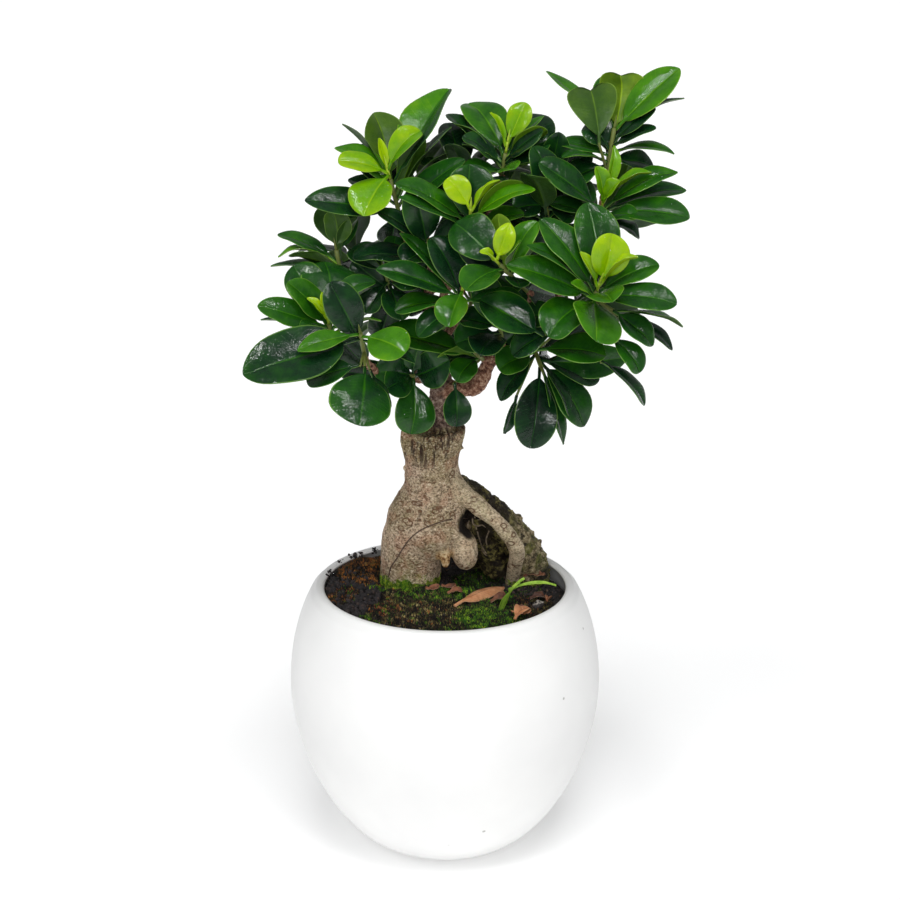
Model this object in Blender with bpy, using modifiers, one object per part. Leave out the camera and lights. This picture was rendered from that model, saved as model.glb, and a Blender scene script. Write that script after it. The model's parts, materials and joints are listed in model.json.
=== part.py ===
"""Ginseng ficus in a white egg-shaped pot.

The pot stands on z = 0 with its axis on the Z axis, and the front of the plant looks to -Y.
Lengths are millimetres. new_object turns them into the scene's metres.
"""

import math
import random
from typing import NamedTuple

import bmesh
import bpy
from mathutils import Quaternion, Vector
from mathutils.bvhtree import BVHTree

MM = 0.001
GAP = 0.3

# Pot: an egg cut off flat, 150 mm across its widest part
POT_RADIUS = 75.0
POT_HEIGHT = 131.0
WIDEST_AT = 82.0
FOOT_RADIUS = 31.5
RIM_RADIUS = 62.3
WALL = 4.5
FLOOR = 7.0
POT_SIDES = 36

# Soil: below the rim, a little higher on the left, mounded against the root
SOIL_LEVEL = 124.6
MOUND = 3.0
MOUND_CENTRE = (-8.0, 10.0)
MOUND_REACH = 22.0

# Foliage
BLADE_THICKNESS = 0.7
PETIOLE_WIDTH = 1.7
PETIOLE_SHARE = 0.14
STEM_RADIUS = 1.3
TIP_RADIUS = 0.85
ROOT_DEPTH = 0.5
TIP_STEM = 5.0
CLEARANCE = 0.4
GOLDEN_ANGLE = math.radians(137.5)
FRONT_TILT = math.radians(17.6)
SEED = 11
LEAF_SPACING = 1.5
FARTHEST_BEND = 40
SHARES = (1.0, 0.9, 0.8)
LONG_LEAF = 33.0

# The front view looks down by FRONT_TILT. Shoots give their leaves as it shows them.
ACROSS = Vector((1, 0, 0))
UP = Vector((0, math.sin(FRONT_TILT), math.cos(FRONT_TILT)))
AWAY = Vector((0, math.cos(FRONT_TILT), -math.sin(FRONT_TILT)))


class Leaf(NamedTuple):
    """One leaf of a shoot.

    tip is across, up and away from the shoot's bud. face is in degrees: 0 shows the upper side to the
    front, 90 is edge-on with the upper side to the sky, 180 shows the underside. A leaf grows from the
    stem, the higher its tip the higher up, unless base gives its place as tip does.
    """

    tip: tuple
    width: float
    face: float
    arch: float = 28.0
    fold: float = 12.0
    base: tuple = None


class Shoot(NamedTuple):
    """A leafy stem from start, where the branch ends, to bud. young are its lime leaves."""

    name: str
    start: tuple
    bud: tuple
    leaves: tuple = ()
    young: tuple = ()
    fill: int = 0


SHOOTS = (
    Shoot(
        "upper_left",
        start=(-20, 6, 306),
        bud=(-25.8, 4, 329.8),
        leaves=(
            Leaf((-37, -16, -4), 16, 35, arch=20),
            Leaf((29, 37, 12), 23, 35, fold=25, arch=30),
            Leaf((-8, 27, 8), 23, 165, arch=20),
            Leaf((35, 3, -6), 17, 38, arch=25),
            Leaf((-21, 13, -4), 13, 50, arch=50),
            Leaf((29, 20, 8), 11, 75),
            Leaf((8, 21, 16), 14, 150),
            Leaf((-18, -4, 6), 14, 60),
            Leaf((-21, 22, 12), 10, 95),
            Leaf((27, 10, 12), 11, 80),
            Leaf((16, 15, -3), 12, 140),
        ),
        young=(
            Leaf((-10, -23, -10), 21, 25, arch=45),
            Leaf((-22, 2, -6), 13, 45, arch=35),
            Leaf((15, 17, -5), 14, 25, arch=60, fold=30),
            Leaf((-4, 13, -2), 6, 20, fold=45),
        ),
        fill=1,
    ),
    Shoot(
        "top_middle",
        start=(26, 15, 325),
        bud=(28.7, 15, 340),
        leaves=(
            Leaf((-16, 25, 10), 20, 20),
            Leaf((-27, 15, 12), 14, 60),
            Leaf((-23, 10, 3), 10, 80),
            Leaf((-20, 3, -4), 13, 50),
            Leaf((15, 9, -6), 12, 125),
            Leaf((16, 4, -9), 13, 40),
            Leaf((17, 13, 10), 12, 60),
            Leaf((19, 1, -3), 15, 20),
            Leaf((-21, -2, -2), 12, 80, arch=50),
            Leaf((-20, -13, -6), 13, 55),
            Leaf((3, -15, -14), 12, 30),
            Leaf((22, -8, -5), 11, 45),
        ),
        young=(
            Leaf((8, 18, -1), 12, 10, arch=15),
            Leaf((-7.5, 14, 0), 5, 30, fold=50),
        ),
        fill=1,
    ),
    Shoot(
        "centre",
        start=(11, -8, 301),
        bud=(11.6, -15, 315.3),
        leaves=(
            Leaf((-33, 11, -3), 15, 50, arch=20),
            Leaf((-2, 20, 9), 21, 15),
            Leaf((28, 8, -8), 14, 50),
            Leaf((23, 12, -2), 12, 118),
            Leaf((-32, 3, -9), 13, 62),
            Leaf((24, -2, 5), 14, 50),
        ),
        young=(
            Leaf((-10, 13, -3), 12, 10, arch=15),
            Leaf((12.5, 13, 0), 8, 60, fold=30),
        ),
        fill=1,
    ),
    Shoot(
        "top_right",
        start=(73, 9, 322),
        bud=(76.6, 10, 347),
        leaves=(
            Leaf((-13, 19, -6), 26, 172, arch=30),
            Leaf((29, 26, -4), 16, 38, arch=22),
            Leaf((3, 24, 10), 24, 165, arch=25),
            Leaf((2, 27, 16), 21, 15),
            Leaf((-30, 29, 10), 12, 65, arch=20),
            Leaf((32, 15, 4), 11, 72, arch=35),
            Leaf((20, 6, -4), 13, 45),
            Leaf((-12, 4, 4), 16, 20),
            Leaf((-24, -14, -6), 12, 70, arch=40),
            Leaf((27, -14, 0), 12, 65, arch=55),
            Leaf((-26, -7, 8), 13, 50),
            Leaf((17, 0, -9), 11, 50),
            Leaf((19, -16, 9), 14, 40),
            Leaf((-21, -24, 3), 17, 45),
        ),
        fill=1,
    ),
    Shoot(
        "right",
        start=(69.5, -4, 305),
        bud=(71.5, -5, 319.3),
        leaves=(
            Leaf((37, -12, -10), 18, 38, arch=38),
            Leaf((-31, 12, -5), 18, 42),
            Leaf((32, 11, -5), 15, 48, arch=22),
            Leaf((38, 4, 8), 15, 50),
            Leaf((17, -18, 3), 13, 50),
            Leaf((14, -10, -9), 11, 50),
            Leaf((-24, -3, 6), 14, 50),
        ),
        young=(
            Leaf((-4, 12, -5), 9, 20, fold=30),
            Leaf((7, 5, -8), 9, 40, fold=30),
            Leaf((5, 22, -2), 7, 30, fold=35),
            Leaf((20, 11, -6), 9, 65, fold=30),
        ),
        fill=1,
    ),
    Shoot(
        "front_right",
        start=(65.5, -34, 277),
        bud=(67.8, -40, 287),
        leaves=(
            Leaf((-2, -26, -14), 26, 25, arch=25, fold=8),
            Leaf((-41, 7, -6), 20, 36, arch=18),
            Leaf((33, -9, -7), 16, 40, arch=40),
            Leaf((-26, 28, 4), 18, 40, arch=22),
            Leaf((-5, 36, 10), 21, 20, arch=22),
            Leaf((-33, 15, -2), 12, 62),
            Leaf((26, 8, 2), 16, 45),
            Leaf((-23, -23, -8), 20, 35),
            Leaf((3, -8, -20), 17, 35),
            Leaf((-13, -1, -9), 7, 55),
            Leaf((18, -39, 0), 14, 35, base=(4, -23, 3)),
            Leaf((24, -27, 2), 16, 35, base=(6, -12, 3)),
            Leaf((37, -20, 7), 12, 75, base=(7, -12, 6)),
            Leaf((21, -53, 7), 15, 60, base=(1, -34, 6)),
            Leaf((3, -31, 1), 20, 45, base=(-27, -29, 6)),
            Leaf((-52, -7, 5), 22, 38, base=(-24, -23, 5), arch=15),
            Leaf((34, -28, 12), 11, 50, base=(8, -14, 8)),
            Leaf((-38, -31, 8), 15, 45, base=(-18, -19, 8)),
        ),
        young=(
            Leaf((5, 21, -3), 18, 12, arch=25),
            Leaf((15, 12, -7), 9, 60, fold=35),
            Leaf((-9, 13, -2), 7, 45, fold=35),
        ),
    ),
    Shoot(
        "front_middle",
        start=(36.8, -22, 279),
        bud=(21.3, -36, 297),
        leaves=(
            Leaf((-20, 19, -5), 23, 18, arch=25, fold=6),
            Leaf((20.5, 19, 2), 16, 35),
            Leaf((1.5, 20, 4), 12, 158),
            Leaf((-12, -15, -10), 17, 38),
            Leaf((16, 7, -6), 10, 60),
            Leaf((19, 6, 7), 10, 110),
            Leaf((12, -12, 2), 12, 40),
        ),
        young=(
            Leaf((7, 15, -3), 10, 10, arch=15),
            Leaf((-5, 3, -5), 5, 40, fold=35),
        ),
        fill=1,
    ),
    Shoot(
        "low_middle",
        start=(7, -19, 271),
        bud=(7.9, -28, 281),
        leaves=(
            Leaf((-38, 9, -4), 15, 45, arch=15),
            Leaf((-28, 26, 9), 13, 60),
            Leaf((-30, -9, 4), 15, 60),
            Leaf((28, -4, 4), 16, 50),
            Leaf((-20, -20, 2), 13, 35),
        ),
        young=(Leaf((-6, -17, -9), 16, 22, arch=35, fold=20),),
        fill=1,
    ),
    Shoot(
        "left",
        start=(-47, 2, 279),
        bud=(-49.3, 0, 293.2),
        leaves=(
            Leaf((-1, 18, -3), 14, 165, arch=20),
            Leaf((-27, 5, 4), 12, 55),
            Leaf((7.5, 20, 6), 11, 30),
            Leaf((-21, -3, -7), 11, 112),
            Leaf((9, 15, 0), 9, 125),
            Leaf((-30, -9.5, 2), 10, 72),
            Leaf((-27, -4, -2), 9, 78, arch=60),
        ),
    ),
    Shoot(
        "low_left",
        start=(-51, -19, 257),
        bud=(-52.4, -25, 268.9),
        leaves=(
            Leaf((-30, 4, -8), 14, 35, arch=18),
            Leaf((0, 27, 8), 26, 20, arch=45, fold=-8),
            Leaf((-20, 13, 0), 15, 38),
            Leaf((22, 15, -4), 15, 55, arch=110),
            Leaf((-30, -2, 3), 10, 78),
            Leaf((-10, -6, -12), 11, 78),
            Leaf((15, 4, -9), 9, 35),
            Leaf((24, -1, 2), 9, 80),
        ),
        young=(
            Leaf((-8, 8, -3), 5, 35, fold=35),
            Leaf((-2, 10, -2), 6, 20, fold=35),
        ),
        fill=1,
    ),
    Shoot(
        "front_left",
        start=(-35.5, -30, 251),
        bud=(-37, -40, 264.4),
        leaves=(
            Leaf((-51, -18, -8), 28, 30, arch=15),
            Leaf((20, -9, -11), 20, 25, arch=20, fold=6),
            Leaf((-27, -8, -9), 11, 45, arch=18),
            Leaf((0, -41, -12), 29, 20, base=(2, -15, 1), arch=30, fold=-8),
            Leaf((-24, -21, 3), 16, 35, base=(0, -14, 2)),
            Leaf((10, -38, 4), 13, 55, base=(4, -16, 5)),
            Leaf((24, -13, 1), 12, 60),
        ),
        fill=1,
    ),
    Shoot(
        "trunk_left",
        start=(-13.5, 0.5, 233.5),
        bud=(-15, -7, 236),
        leaves=(
            Leaf((0, -27, -5), 21, 15, arch=20),
            Leaf((3, 13, -5), 15, 20, arch=20),
            Leaf((-16, 9, 0), 10, 60),
        ),
    ),
    Shoot(
        "trunk_right",
        start=(17.5, -4, 243),
        bud=(14.5, -11, 247),
        leaves=(
            Leaf((-41, 13, -6), 19, 45, arch=18),
            Leaf((-9, -33, -4), 14.5, 15, base=(-10, -13, -1), arch=20),
            Leaf((-9, -12, -6), 14, 35),
            Leaf((-18, -1, -9), 11, 115),
        ),
    ),
    Shoot(
        "hanging_right",
        start=(41, -8, 249),
        bud=(43.7, -18, 243),
        leaves=(
            Leaf((-5, -37, -7), 21, 15, arch=20),
            Leaf((19, -27, 3), 17, 32, arch=35),
            Leaf((14.5, -34, 1), 11, 50),
            Leaf((14, -22, -4), 10, 60),
            Leaf((27, -6, 8), 15, 32),
            Leaf((-20, 0, 0), 16, 30),
            Leaf((-16, -31, 1), 6, 30, base=(-11, -13, 1)),
            Leaf((-19, -15, 5), 13, 35),
        ),
    ),
    Shoot(
        "inner_left",
        start=(-24, 3, 272),
        bud=(-27, -1, 283),
        leaves=(
            Leaf((16, -6, -6), 16, 35),
            Leaf((8, -22, -6), 15, 25),
            Leaf((-8, -19, -1), 15, 40),
            Leaf((-16, 11, 5), 16, 35),
            Leaf((4, 17, 6), 14, 30),
        ),
    ),
    Shoot(
        "inner_middle",
        start=(-7, -2, 287),
        bud=(-8, -5, 298),
        leaves=(Leaf((-22, 14, -4), 10, 40), Leaf((14, 4, -6), 16, 30), Leaf((-10, -10, -8), 16, 30)),
        fill=4,
    ),
    Shoot(
        "inner_right",
        start=(47, 3, 302),
        bud=(46, 1, 314),
        leaves=(Leaf((-15, -3, -5), 16, 35), Leaf((12, -4, -5), 16, 35)),
        fill=5,
    ),
    Shoot(
        "inner_low",
        start=(26, -13, 254),
        bud=(25, -18, 262),
        leaves=(Leaf((25, 8, -2), 17, 30), Leaf((-18, 4, 0), 15, 40), Leaf((-20, -8, -4), 17, 30)),
        fill=3,
    ),
    Shoot("inner_upper", start=(10, 19, 312), bud=(9, 20, 324), fill=6),
    Shoot("back_left", start=(-40, 39, 277), bud=(-45, 43, 285), fill=7),
    Shoot("back_upper_left", start=(-11, 46, 310), bud=(-12, 51, 320), fill=7),
    Shoot("back_top", start=(6, 29, 326), bud=(4, 32, 338), fill=4),
    Shoot("back_middle", start=(28, 48, 299), bud=(31, 54, 309), fill=7),
    Shoot("back_upper_right", start=(47, 17, 322), bud=(46, 20, 333), fill=4),
    Shoot("back_right", start=(71, 39, 293), bud=(76, 45, 301), fill=7),
    Shoot("back_low_right", start=(58, 35, 256), bud=(64, 42, 260), fill=7),
    Shoot("back_low_left", start=(-26, 37, 254), bud=(-32, 43, 259), fill=7),
    Shoot("back_low_middle", start=(12, 39, 257), bud=(13, 46, 263), fill=7),
)

# Roots: x, y, z and radius along each, from the body of the root down into the soil
CAUDEX = (
    ((-5, 8, 205, 14.2), (-6, 8, 196, 13.3), (-6, 8, 186, 12.8), (-5.5, 8, 176, 14.6),
     (-5, 8.5, 166, 17), (-6, 9.5, 156, 18.4), (-6, 10, 149.5, 16.8), (-5, 11, 144, 12)),
    ((-9, 8, 181, 8), (-12.5, 8, 166, 13), (-14.5, 9, 156, 14.4), (-16, 10, 146, 14.8),
     (-16.7, 10.5, 136, 14.6), (-17.2, 11, 126, 14), (-18, 12, 108, 8)),
)
ROOTS = (
    ((3, 8, 166, 8), (7.5, 3, 155.5, 7.8), (9, 0.5, 149, 7.1), (9.5, 0, 143, 6), (9.3, 0.5, 139, 3)),
    ((-2, 3, 156, 4), (-0.5, -4, 150, 3), (0, -5, 145, 2.4), (0.5, -5, 141, 1.5)),
    ((2, 5, 181, 5.5), (14, -3, 172.3, 4.3), (22.5, -4.5, 165.5, 3.9), (29.5, -4, 157.6, 3.7),
     (34.2, 0, 148, 3.7), (34, 8, 137.6, 3.4), (32.6, 16, 125.7, 3.1), (31.5, 19, 112, 2)),
    ((4, 10, 174, 9), (14, 14, 167.5, 8), (26.5, 18, 155.5, 8), (37.5, 20, 142, 8.2),
     (43, 23, 127, 8.4), (45, 25, 113, 5.5)),
    ((6, 15, 164, 8), (17, 24, 149, 8), (24, 28, 135, 8), (27, 30, 113, 5)),
    ((-8, 14, 168, 9), (-15, 28, 150, 8.5), (-22, 37, 132, 7.5), (-25, 41, 113, 5)),
    ((2, 15, 166, 8), (10, 29, 149, 7.5), (17, 38, 131, 6.5), (20, 42, 113, 4.5)),
)

# Branches above the graft, each from a place on another one. The last two points of a twig come from
# the shoot that it carries.
TRUNK = (
    ((-1, 7, 201, 6.4), (-2, 6.5, 210, 5.4), (-3.2, 6, 220, 4.2), (-1.5, 6, 230, 4.8), (-3, 6.5, 240, 3),
     (-4.5, 7, 250, 2.6), (-7, 8, 266, 2.3), (-12, 8, 284, 2)),
    ((-2.5, 6, 225, 4), (6, 4, 226.5, 4.0), (15, 3, 228.5, 3.9), (19.5, 2, 238, 3.9), (27, 2, 247, 3.7),
     (37, 2, 256, 3.6), (48, 0, 267, 2.9), (59, -2, 285, 2.3)),
    ((-2, 6, 230, 2.6), (-13, 4, 231.5, 2), (-23, 0, 232.5, 2), (-36, -5, 241, 1.8), (-44, -8, 248, 1.7)),
)
TWIG_RADIUS = 1.45
TWIGS = {
    "upper_left": ((-12, 8, 284), (-17, 7, 296)),
    "top_middle": ((-8, 8, 270), (8, 11, 286), (20, 14, 306)),
    "centre": ((-6, 8, 262), (3, 4, 277), (9, -3, 290)),
    "top_right": ((59, -2, 285), (68, 6, 300)),
    "right": ((59, -2, 285), (66, -3, 295)),
    "front_right": ((46, 0, 265), (56, -17, 268)),
    "front_middle": ((35, 2, 254), (38, -10, 267)),
    "low_middle": ((-4, 7, 247), (3, -6, 258)),
    "left": ((-36, -5, 241), (-43, 1, 258)),
    "low_left": ((-44, -8, 248), (-48, -12, 251)),
    "front_left": ((-25, -1, 234), (-31, -16, 240)),
    "trunk_left": ((-12, 4, 231.5), (-13, 3, 232.5)),
    "trunk_right": ((20, 2, 239), (18.5, -1, 241)),
    "hanging_right": ((33, 2, 252), (37, -3, 251)),
    "inner_left": ((-7, 8, 265), (-16, 6, 268)),
    "inner_middle": ((-8, 8, 270), (-7, 2, 278)),
    "inner_right": ((51, -1, 271), (49, 2, 288)),
    "inner_low": ((24, 2, 244), (26, -5, 248)),
    "inner_upper": ((3, 10, 281), (8, 16, 298)),
    "back_left": ((-7, 8, 266), (-24, 22, 274)),
    "back_upper_left": ((-9, 8, 273), (-9, 26, 293)),
    "back_top": ((1, 10, 279), (5, 20, 302)),
    "back_middle": ((-5, 7, 254), (12, 24, 275)),
    "back_upper_right": ((54, -1, 277), (51, 9, 300)),
    "back_right": ((50, 0, 270), (60, 20, 281)),
    "back_low_right": ((36, 2, 255), (46, 18, 253)),
    "back_low_left": ((-12, 4, 231.5), (-18, 22, 243)),
    "back_low_middle": ((20, 2, 239), (15, 20, 247)),
}

# Moss cushions: place, half the width along x and y, height over the soil
MOSS = {
    "moss_green": (((18, -31), (19, 13), 2.6), ((15, -8), (20, 17), 2.6), ((-12, -9), (20, 10), 3.4)),
    "moss_brown": (((-22, -27), (20, 17), 3.2), ((-42, -4), (11, 22), 3.4)),
}

# Bits that lie on the soil: place, size and turn
LITTER = {
    "dark_stone": ((43.6, -17.6), (6.5, 5, 4), 20),
    "bark_chip_front": ((35.8, -22.5), (7, 5.5, 2.2), 35),
    "bark_chip_right": ((49.4, -4.6), (5, 3.6, 1.8), 70),
    "bark_chip_left": ((-46, 28), (7, 4, 1.8), 110),
    "bark_chip_middle": ((4.5, -9), (6.5, 4, 1.6), 15),
}

GRASS_ROOT = (25.5, -20.5)
GRASS_RADIUS = 1.1
DRY_LEAF_ENDS = ((29, 3), (4.5, -24))


def ground(x, y):
    """Height of the soil."""
    from_mound = math.hypot(x - MOUND_CENTRE[0], y - MOUND_CENTRE[1]) / MOUND_REACH
    mound = MOUND * math.exp(-from_mound * from_mound / 2)
    crumbs = 0.5 * math.sin(0.31 * x + 1) * math.sin(0.27 * y) + 0.3 * math.sin(0.55 * x - 0.4 * y)
    return SOIL_LEVEL - 0.035 * x - 0.015 * y + mound + crumbs


def clear_scene():
    for old in list(bpy.data.objects):
        bpy.data.objects.remove(old, do_unlink=True)


def collection(name):
    made = bpy.data.collections.new(name)
    bpy.context.scene.collection.children.link(made)
    return made


def material(name, colour, roughness):
    made = bpy.data.materials.new(name)
    made.use_nodes = True
    shader = made.node_tree.nodes["Principled BSDF"]
    shader.inputs["Base Color"].default_value = (*colour, 1)
    shader.inputs["Roughness"].default_value = roughness
    shader.inputs["Metallic"].default_value = 0.0
    return made


def new_object(name, verts, faces, home):
    mesh = bpy.data.meshes.new(name)
    mesh.from_pydata([Vector(v) * MM for v in verts], [], faces)
    made = bpy.data.objects.new(name, mesh)
    home.objects.link(made)
    return made


def evaluated_mesh(source):
    bpy.context.view_layer.update()
    graph = bpy.context.evaluated_depsgraph_get()
    return bpy.data.meshes.new_from_object(source.evaluated_get(graph))


def finish(made, look, angle=40):
    made.data.materials.clear()
    made.data.materials.append(look)
    made.data.shade_smooth()
    made.data.set_sharp_from_angle(angle=math.radians(angle))


def keep_main_body(mesh):
    """Fills a hollow that the joining sealed and drops a loose scrap: only the largest surface stays."""
    shape = bmesh.new()
    shape.from_mesh(mesh)
    left = set(shape.verts)
    bodies = []
    while left:
        body = {left.pop()}
        edge = list(body)
        while edge:
            near = {e.other_vert(v) for v in edge for e in v.link_edges} - body
            body |= near
            edge = list(near)
        left -= body
        bodies.append(body)
    bodies.sort(key=len)
    scraps = [vert for body in bodies[:-1] for vert in body]
    bmesh.ops.delete(shape, geom=scraps, context="VERTS")
    shape.to_mesh(mesh)
    shape.free()


def boolean(target, others, operation, solver="MANIFOLD"):
    """Joins the other objects to the target, or cuts them from it, and removes them."""
    tools = collection(target.name + "_tools")
    for other in others:
        for owner in list(other.users_collection):
            owner.objects.unlink(other)
        tools.objects.link(other)
    cut = target.modifiers.new(operation, "BOOLEAN")
    cut.operation = operation
    cut.solver = solver
    cut.operand_type = "COLLECTION"
    cut.collection = tools
    result = evaluated_mesh(target)
    target.modifiers.clear()
    target.data = result
    keep_main_body(result)
    for other in list(tools.objects):
        bpy.data.objects.remove(other, do_unlink=True)
    bpy.data.collections.remove(tools)


def bezier(a, b, c, d, steps):
    """Points of a cubic curve from a to d, without a."""
    found = []
    for i in range(1, steps + 1):
        t = i / steps
        s = 1 - t
        found.append(
            tuple(
                s**3 * p + 3 * s * s * t * q + 3 * s * t * t * r + t**3 * u
                for p, q, r, u in zip(a, b, c, d)
            )
        )
    return found


def turned(name, profile, home):
    """A profile of (radius, height) turned round the Z axis. It runs up the inside and down the outside."""
    edges = [(i, i + 1) for i in range(len(profile) - 1)]
    mesh = bpy.data.meshes.new(name)
    mesh.from_pydata([Vector((r, 0, z)) * MM for r, z in profile], edges, [])
    made = bpy.data.objects.new(name, mesh)
    home.objects.link(made)
    screw = made.modifiers.new("turn", "SCREW")
    screw.steps = screw.render_steps = POT_SIDES
    screw.use_merge_vertices = True
    screw.merge_threshold = 0.00005
    return made


def outer_profile(inset, steps):
    """The egg's wall from the rim down to the foot, moved in by inset."""
    rim, widest, foot = RIM_RADIUS - inset, POT_RADIUS - inset, FOOT_RADIUS - inset * 0.6
    upper = bezier(
        (rim, POT_HEIGHT), (rim + 2.5, POT_HEIGHT - 3), (widest, WIDEST_AT + 28), (widest, WIDEST_AT), steps
    )
    lower = bezier((widest, WIDEST_AT), (widest, WIDEST_AT - 37), (foot + 19, 4), (foot, 0), steps)
    return upper + lower


def pot(home):
    outer = outer_profile(0, 5)
    inner = [point for point in outer_profile(WALL, 2) if point[1] > FLOOR + 6]
    lip = ((RIM_RADIUS - WALL, POT_HEIGHT - 1.6), (RIM_RADIUS - WALL + 1.2, POT_HEIGHT),
           (RIM_RADIUS - 1.2, POT_HEIGHT), (RIM_RADIUS + 0.3, POT_HEIGHT - 1.6))
    floor = [(0, FLOOR), (FOOT_RADIUS - 2, FLOOR)]
    made = turned("pot", floor + inner[::-1] + list(lip) + outer + [(0, 0)], home)
    finish(made, material("glazed_white", (0.86, 0.86, 0.85), 0.35), 50)


def soil_body(home):
    """Fills the pot to the ground, with no holes yet."""
    wall = [point for point in outer_profile(WALL + GAP + 0.1, 2) if FLOOR + 6 < point[1] < SOIL_LEVEL - 6]
    edge = RIM_RADIUS - WALL - GAP
    top = [(0, SOIL_LEVEL), (14, SOIL_LEVEL), (28, SOIL_LEVEL), (43, SOIL_LEVEL)]
    side = [(edge + 0.4, SOIL_LEVEL - 1)] + wall
    floor = [(FOOT_RADIUS - 3, FLOOR + GAP), (0, FLOOR + GAP)]
    made = turned("soil", top + side + floor, home)
    mesh = evaluated_mesh(made)
    made.modifiers.clear()
    shape = bmesh.new()
    shape.from_mesh(mesh)
    bmesh.ops.triangulate(shape, faces=shape.faces)
    for vert in shape.verts:
        x, y, z = vert.co / MM
        if z > SOIL_LEVEL - 2:
            vert.co.z = ground(x, y) * MM
    shape.to_mesh(mesh)
    shape.free()
    made.data = mesh
    return made


def soil(home, cutters):
    """The potting soil. The roots and the grass stand in plain holes."""
    made = soil_body(home)
    boolean(made, cutters, "DIFFERENCE")
    finish(made, material("potting_soil", (0.02, 0.016, 0.014), 0.95))


def tube(name, points, resolution, home, extra=0.0):
    """A tapering tube through points of x, y, z and radius."""
    curve = bpy.data.curves.new(name, "CURVE")
    curve.dimensions = "3D"
    curve.bevel_depth = MM
    curve.bevel_resolution = resolution
    curve.use_fill_caps = True
    spline = curve.splines.new("POLY")
    spline.points.add(len(points) - 1)
    for point, (x, y, z, radius) in zip(spline.points, points):
        point.co = (x * MM, y * MM, z * MM, 1)
        point.radius = radius + extra
    guide = bpy.data.objects.new(name + "_guide", curve)
    home.objects.link(guide)
    mesh = evaluated_mesh(guide)
    bpy.data.objects.remove(guide, do_unlink=True)
    shape = bmesh.new()
    shape.from_mesh(mesh)
    bmesh.ops.remove_doubles(shape, verts=shape.verts, dist=0.00001)
    shape.to_mesh(mesh)
    shape.free()
    made = bpy.data.objects.new(name, mesh)
    home.objects.link(made)
    return made


def axis_of(shoot):
    return (Vector(shoot.bud) - Vector(shoot.start)).normalized()


def twig_points(shoot):
    """The branch that carries a shoot. It ends square to the shoot's stem, a gap short of it."""
    axis = axis_of(shoot)
    end = Vector(shoot.start) - axis * GAP
    rows = [(*point, TWIG_RADIUS + 0.3) for point in TWIGS[shoot.name]]
    rows.append((*(end - axis * 3), TWIG_RADIUS))
    return [*rows, (*end, TWIG_RADIUS)]


def wood_parts():
    """Every root and branch as (points, bevel resolution)."""
    parts = [(points, 4) for points in CAUDEX]
    parts += [(points, 2) for points in ROOTS]
    parts += [(points, 1) for points in TRUNK]
    parts += [(twig_points(shoot), 0) for shoot in SHOOTS]
    return parts


def wood(home):
    """The swollen root, its legs, the graft and the branches, grown as one."""
    tubes = [tube("wood", points, resolution, home) for points, resolution in wood_parts()]
    boolean(tubes[0], tubes[1:], "UNION")
    finish(tubes[0], material("bark", (0.30, 0.24, 0.17), 0.85), 60)
    return tubes[0]


def root_cutters(home):
    """The roots grown by the gap, which leave their holes in the soil."""
    cutters = []
    for points, resolution in wood_parts():
        x, y, z, radius = points[-1]
        if z < SOIL_LEVEL:
            cutters.append(tube("hole", [*points[:-1], (x, y, z - GAP, radius)], resolution, home, GAP))
    return cutters


def grass_stem(home, extra=0.0):
    x, y = GRASS_ROOT
    z = ground(x, y)
    points = ((x, y, z - 5, GRASS_RADIUS), (x, y, z + 4, GRASS_RADIUS * 0.8))
    return tube("grass_sprout", points, 1, home, extra)


def holes(home):
    """What stands in the soil, grown by the gap."""
    hole = grass_stem(home, GAP)
    hole.location.z -= GAP * MM
    return [*root_cutters(home), hole]


def cushions(name, home, extra=0.0):
    """The moss of one colour as overlapping flat domes on the ground."""
    made = []
    for (x, y), (width, depth), height in MOSS[name]:
        shape = bmesh.new()
        bmesh.ops.create_icosphere(shape, subdivisions=2, radius=1)
        verts = []
        for vert in shape.verts:
            px, py = x + vert.co.x * (width + extra), y + vert.co.y * (depth + extra)
            verts.append((px, py, ground(px, py) + vert.co.z * (height + extra)))
        made.append(new_object(name, verts, [tuple(v.index for v in face.verts) for face in shape.faces], home))
        shape.free()
    return made


def moss(home):
    """Cushions cut to the ground, to what stands in it, and the brown ones to the green."""
    colours = {"moss_green": (0.10, 0.19, 0.02), "moss_brown": (0.17, 0.09, 0.03)}
    for name, colour in colours.items():
        first, *others = cushions(name, home)
        boolean(first, others, "UNION")
        raised = soil_body(home)
        raised.location.z = GAP * MM
        cutters = [raised, *holes(home)]
        if name == "moss_brown":
            cutters += cushions("moss_green", home, GAP + 0.1)
        boolean(first, cutters, "DIFFERENCE")
        finish(first, material(name, colour, 1.0), 60)


def drop(verts, faces, trees):
    """Moves a shape straight down until it is a gap above what lies below."""
    points = list(verts)
    for face in faces:
        corners = [verts[i] for i in face]
        points.append(sum(corners, Vector()) / len(corners))
        points += [(a + b) / 2 for a, b in zip(corners, corners[1:])]
    rise = -1000.0
    for point in points:
        for tree in trees:
            hit = tree.ray_cast(point + Vector((0, 0, 60)), Vector((0, 0, -1)))[0]
            if hit:
                rise = max(rise, hit.z + GAP - point.z)
    return [vert + Vector((0, 0, rise)) for vert in verts]


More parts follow.
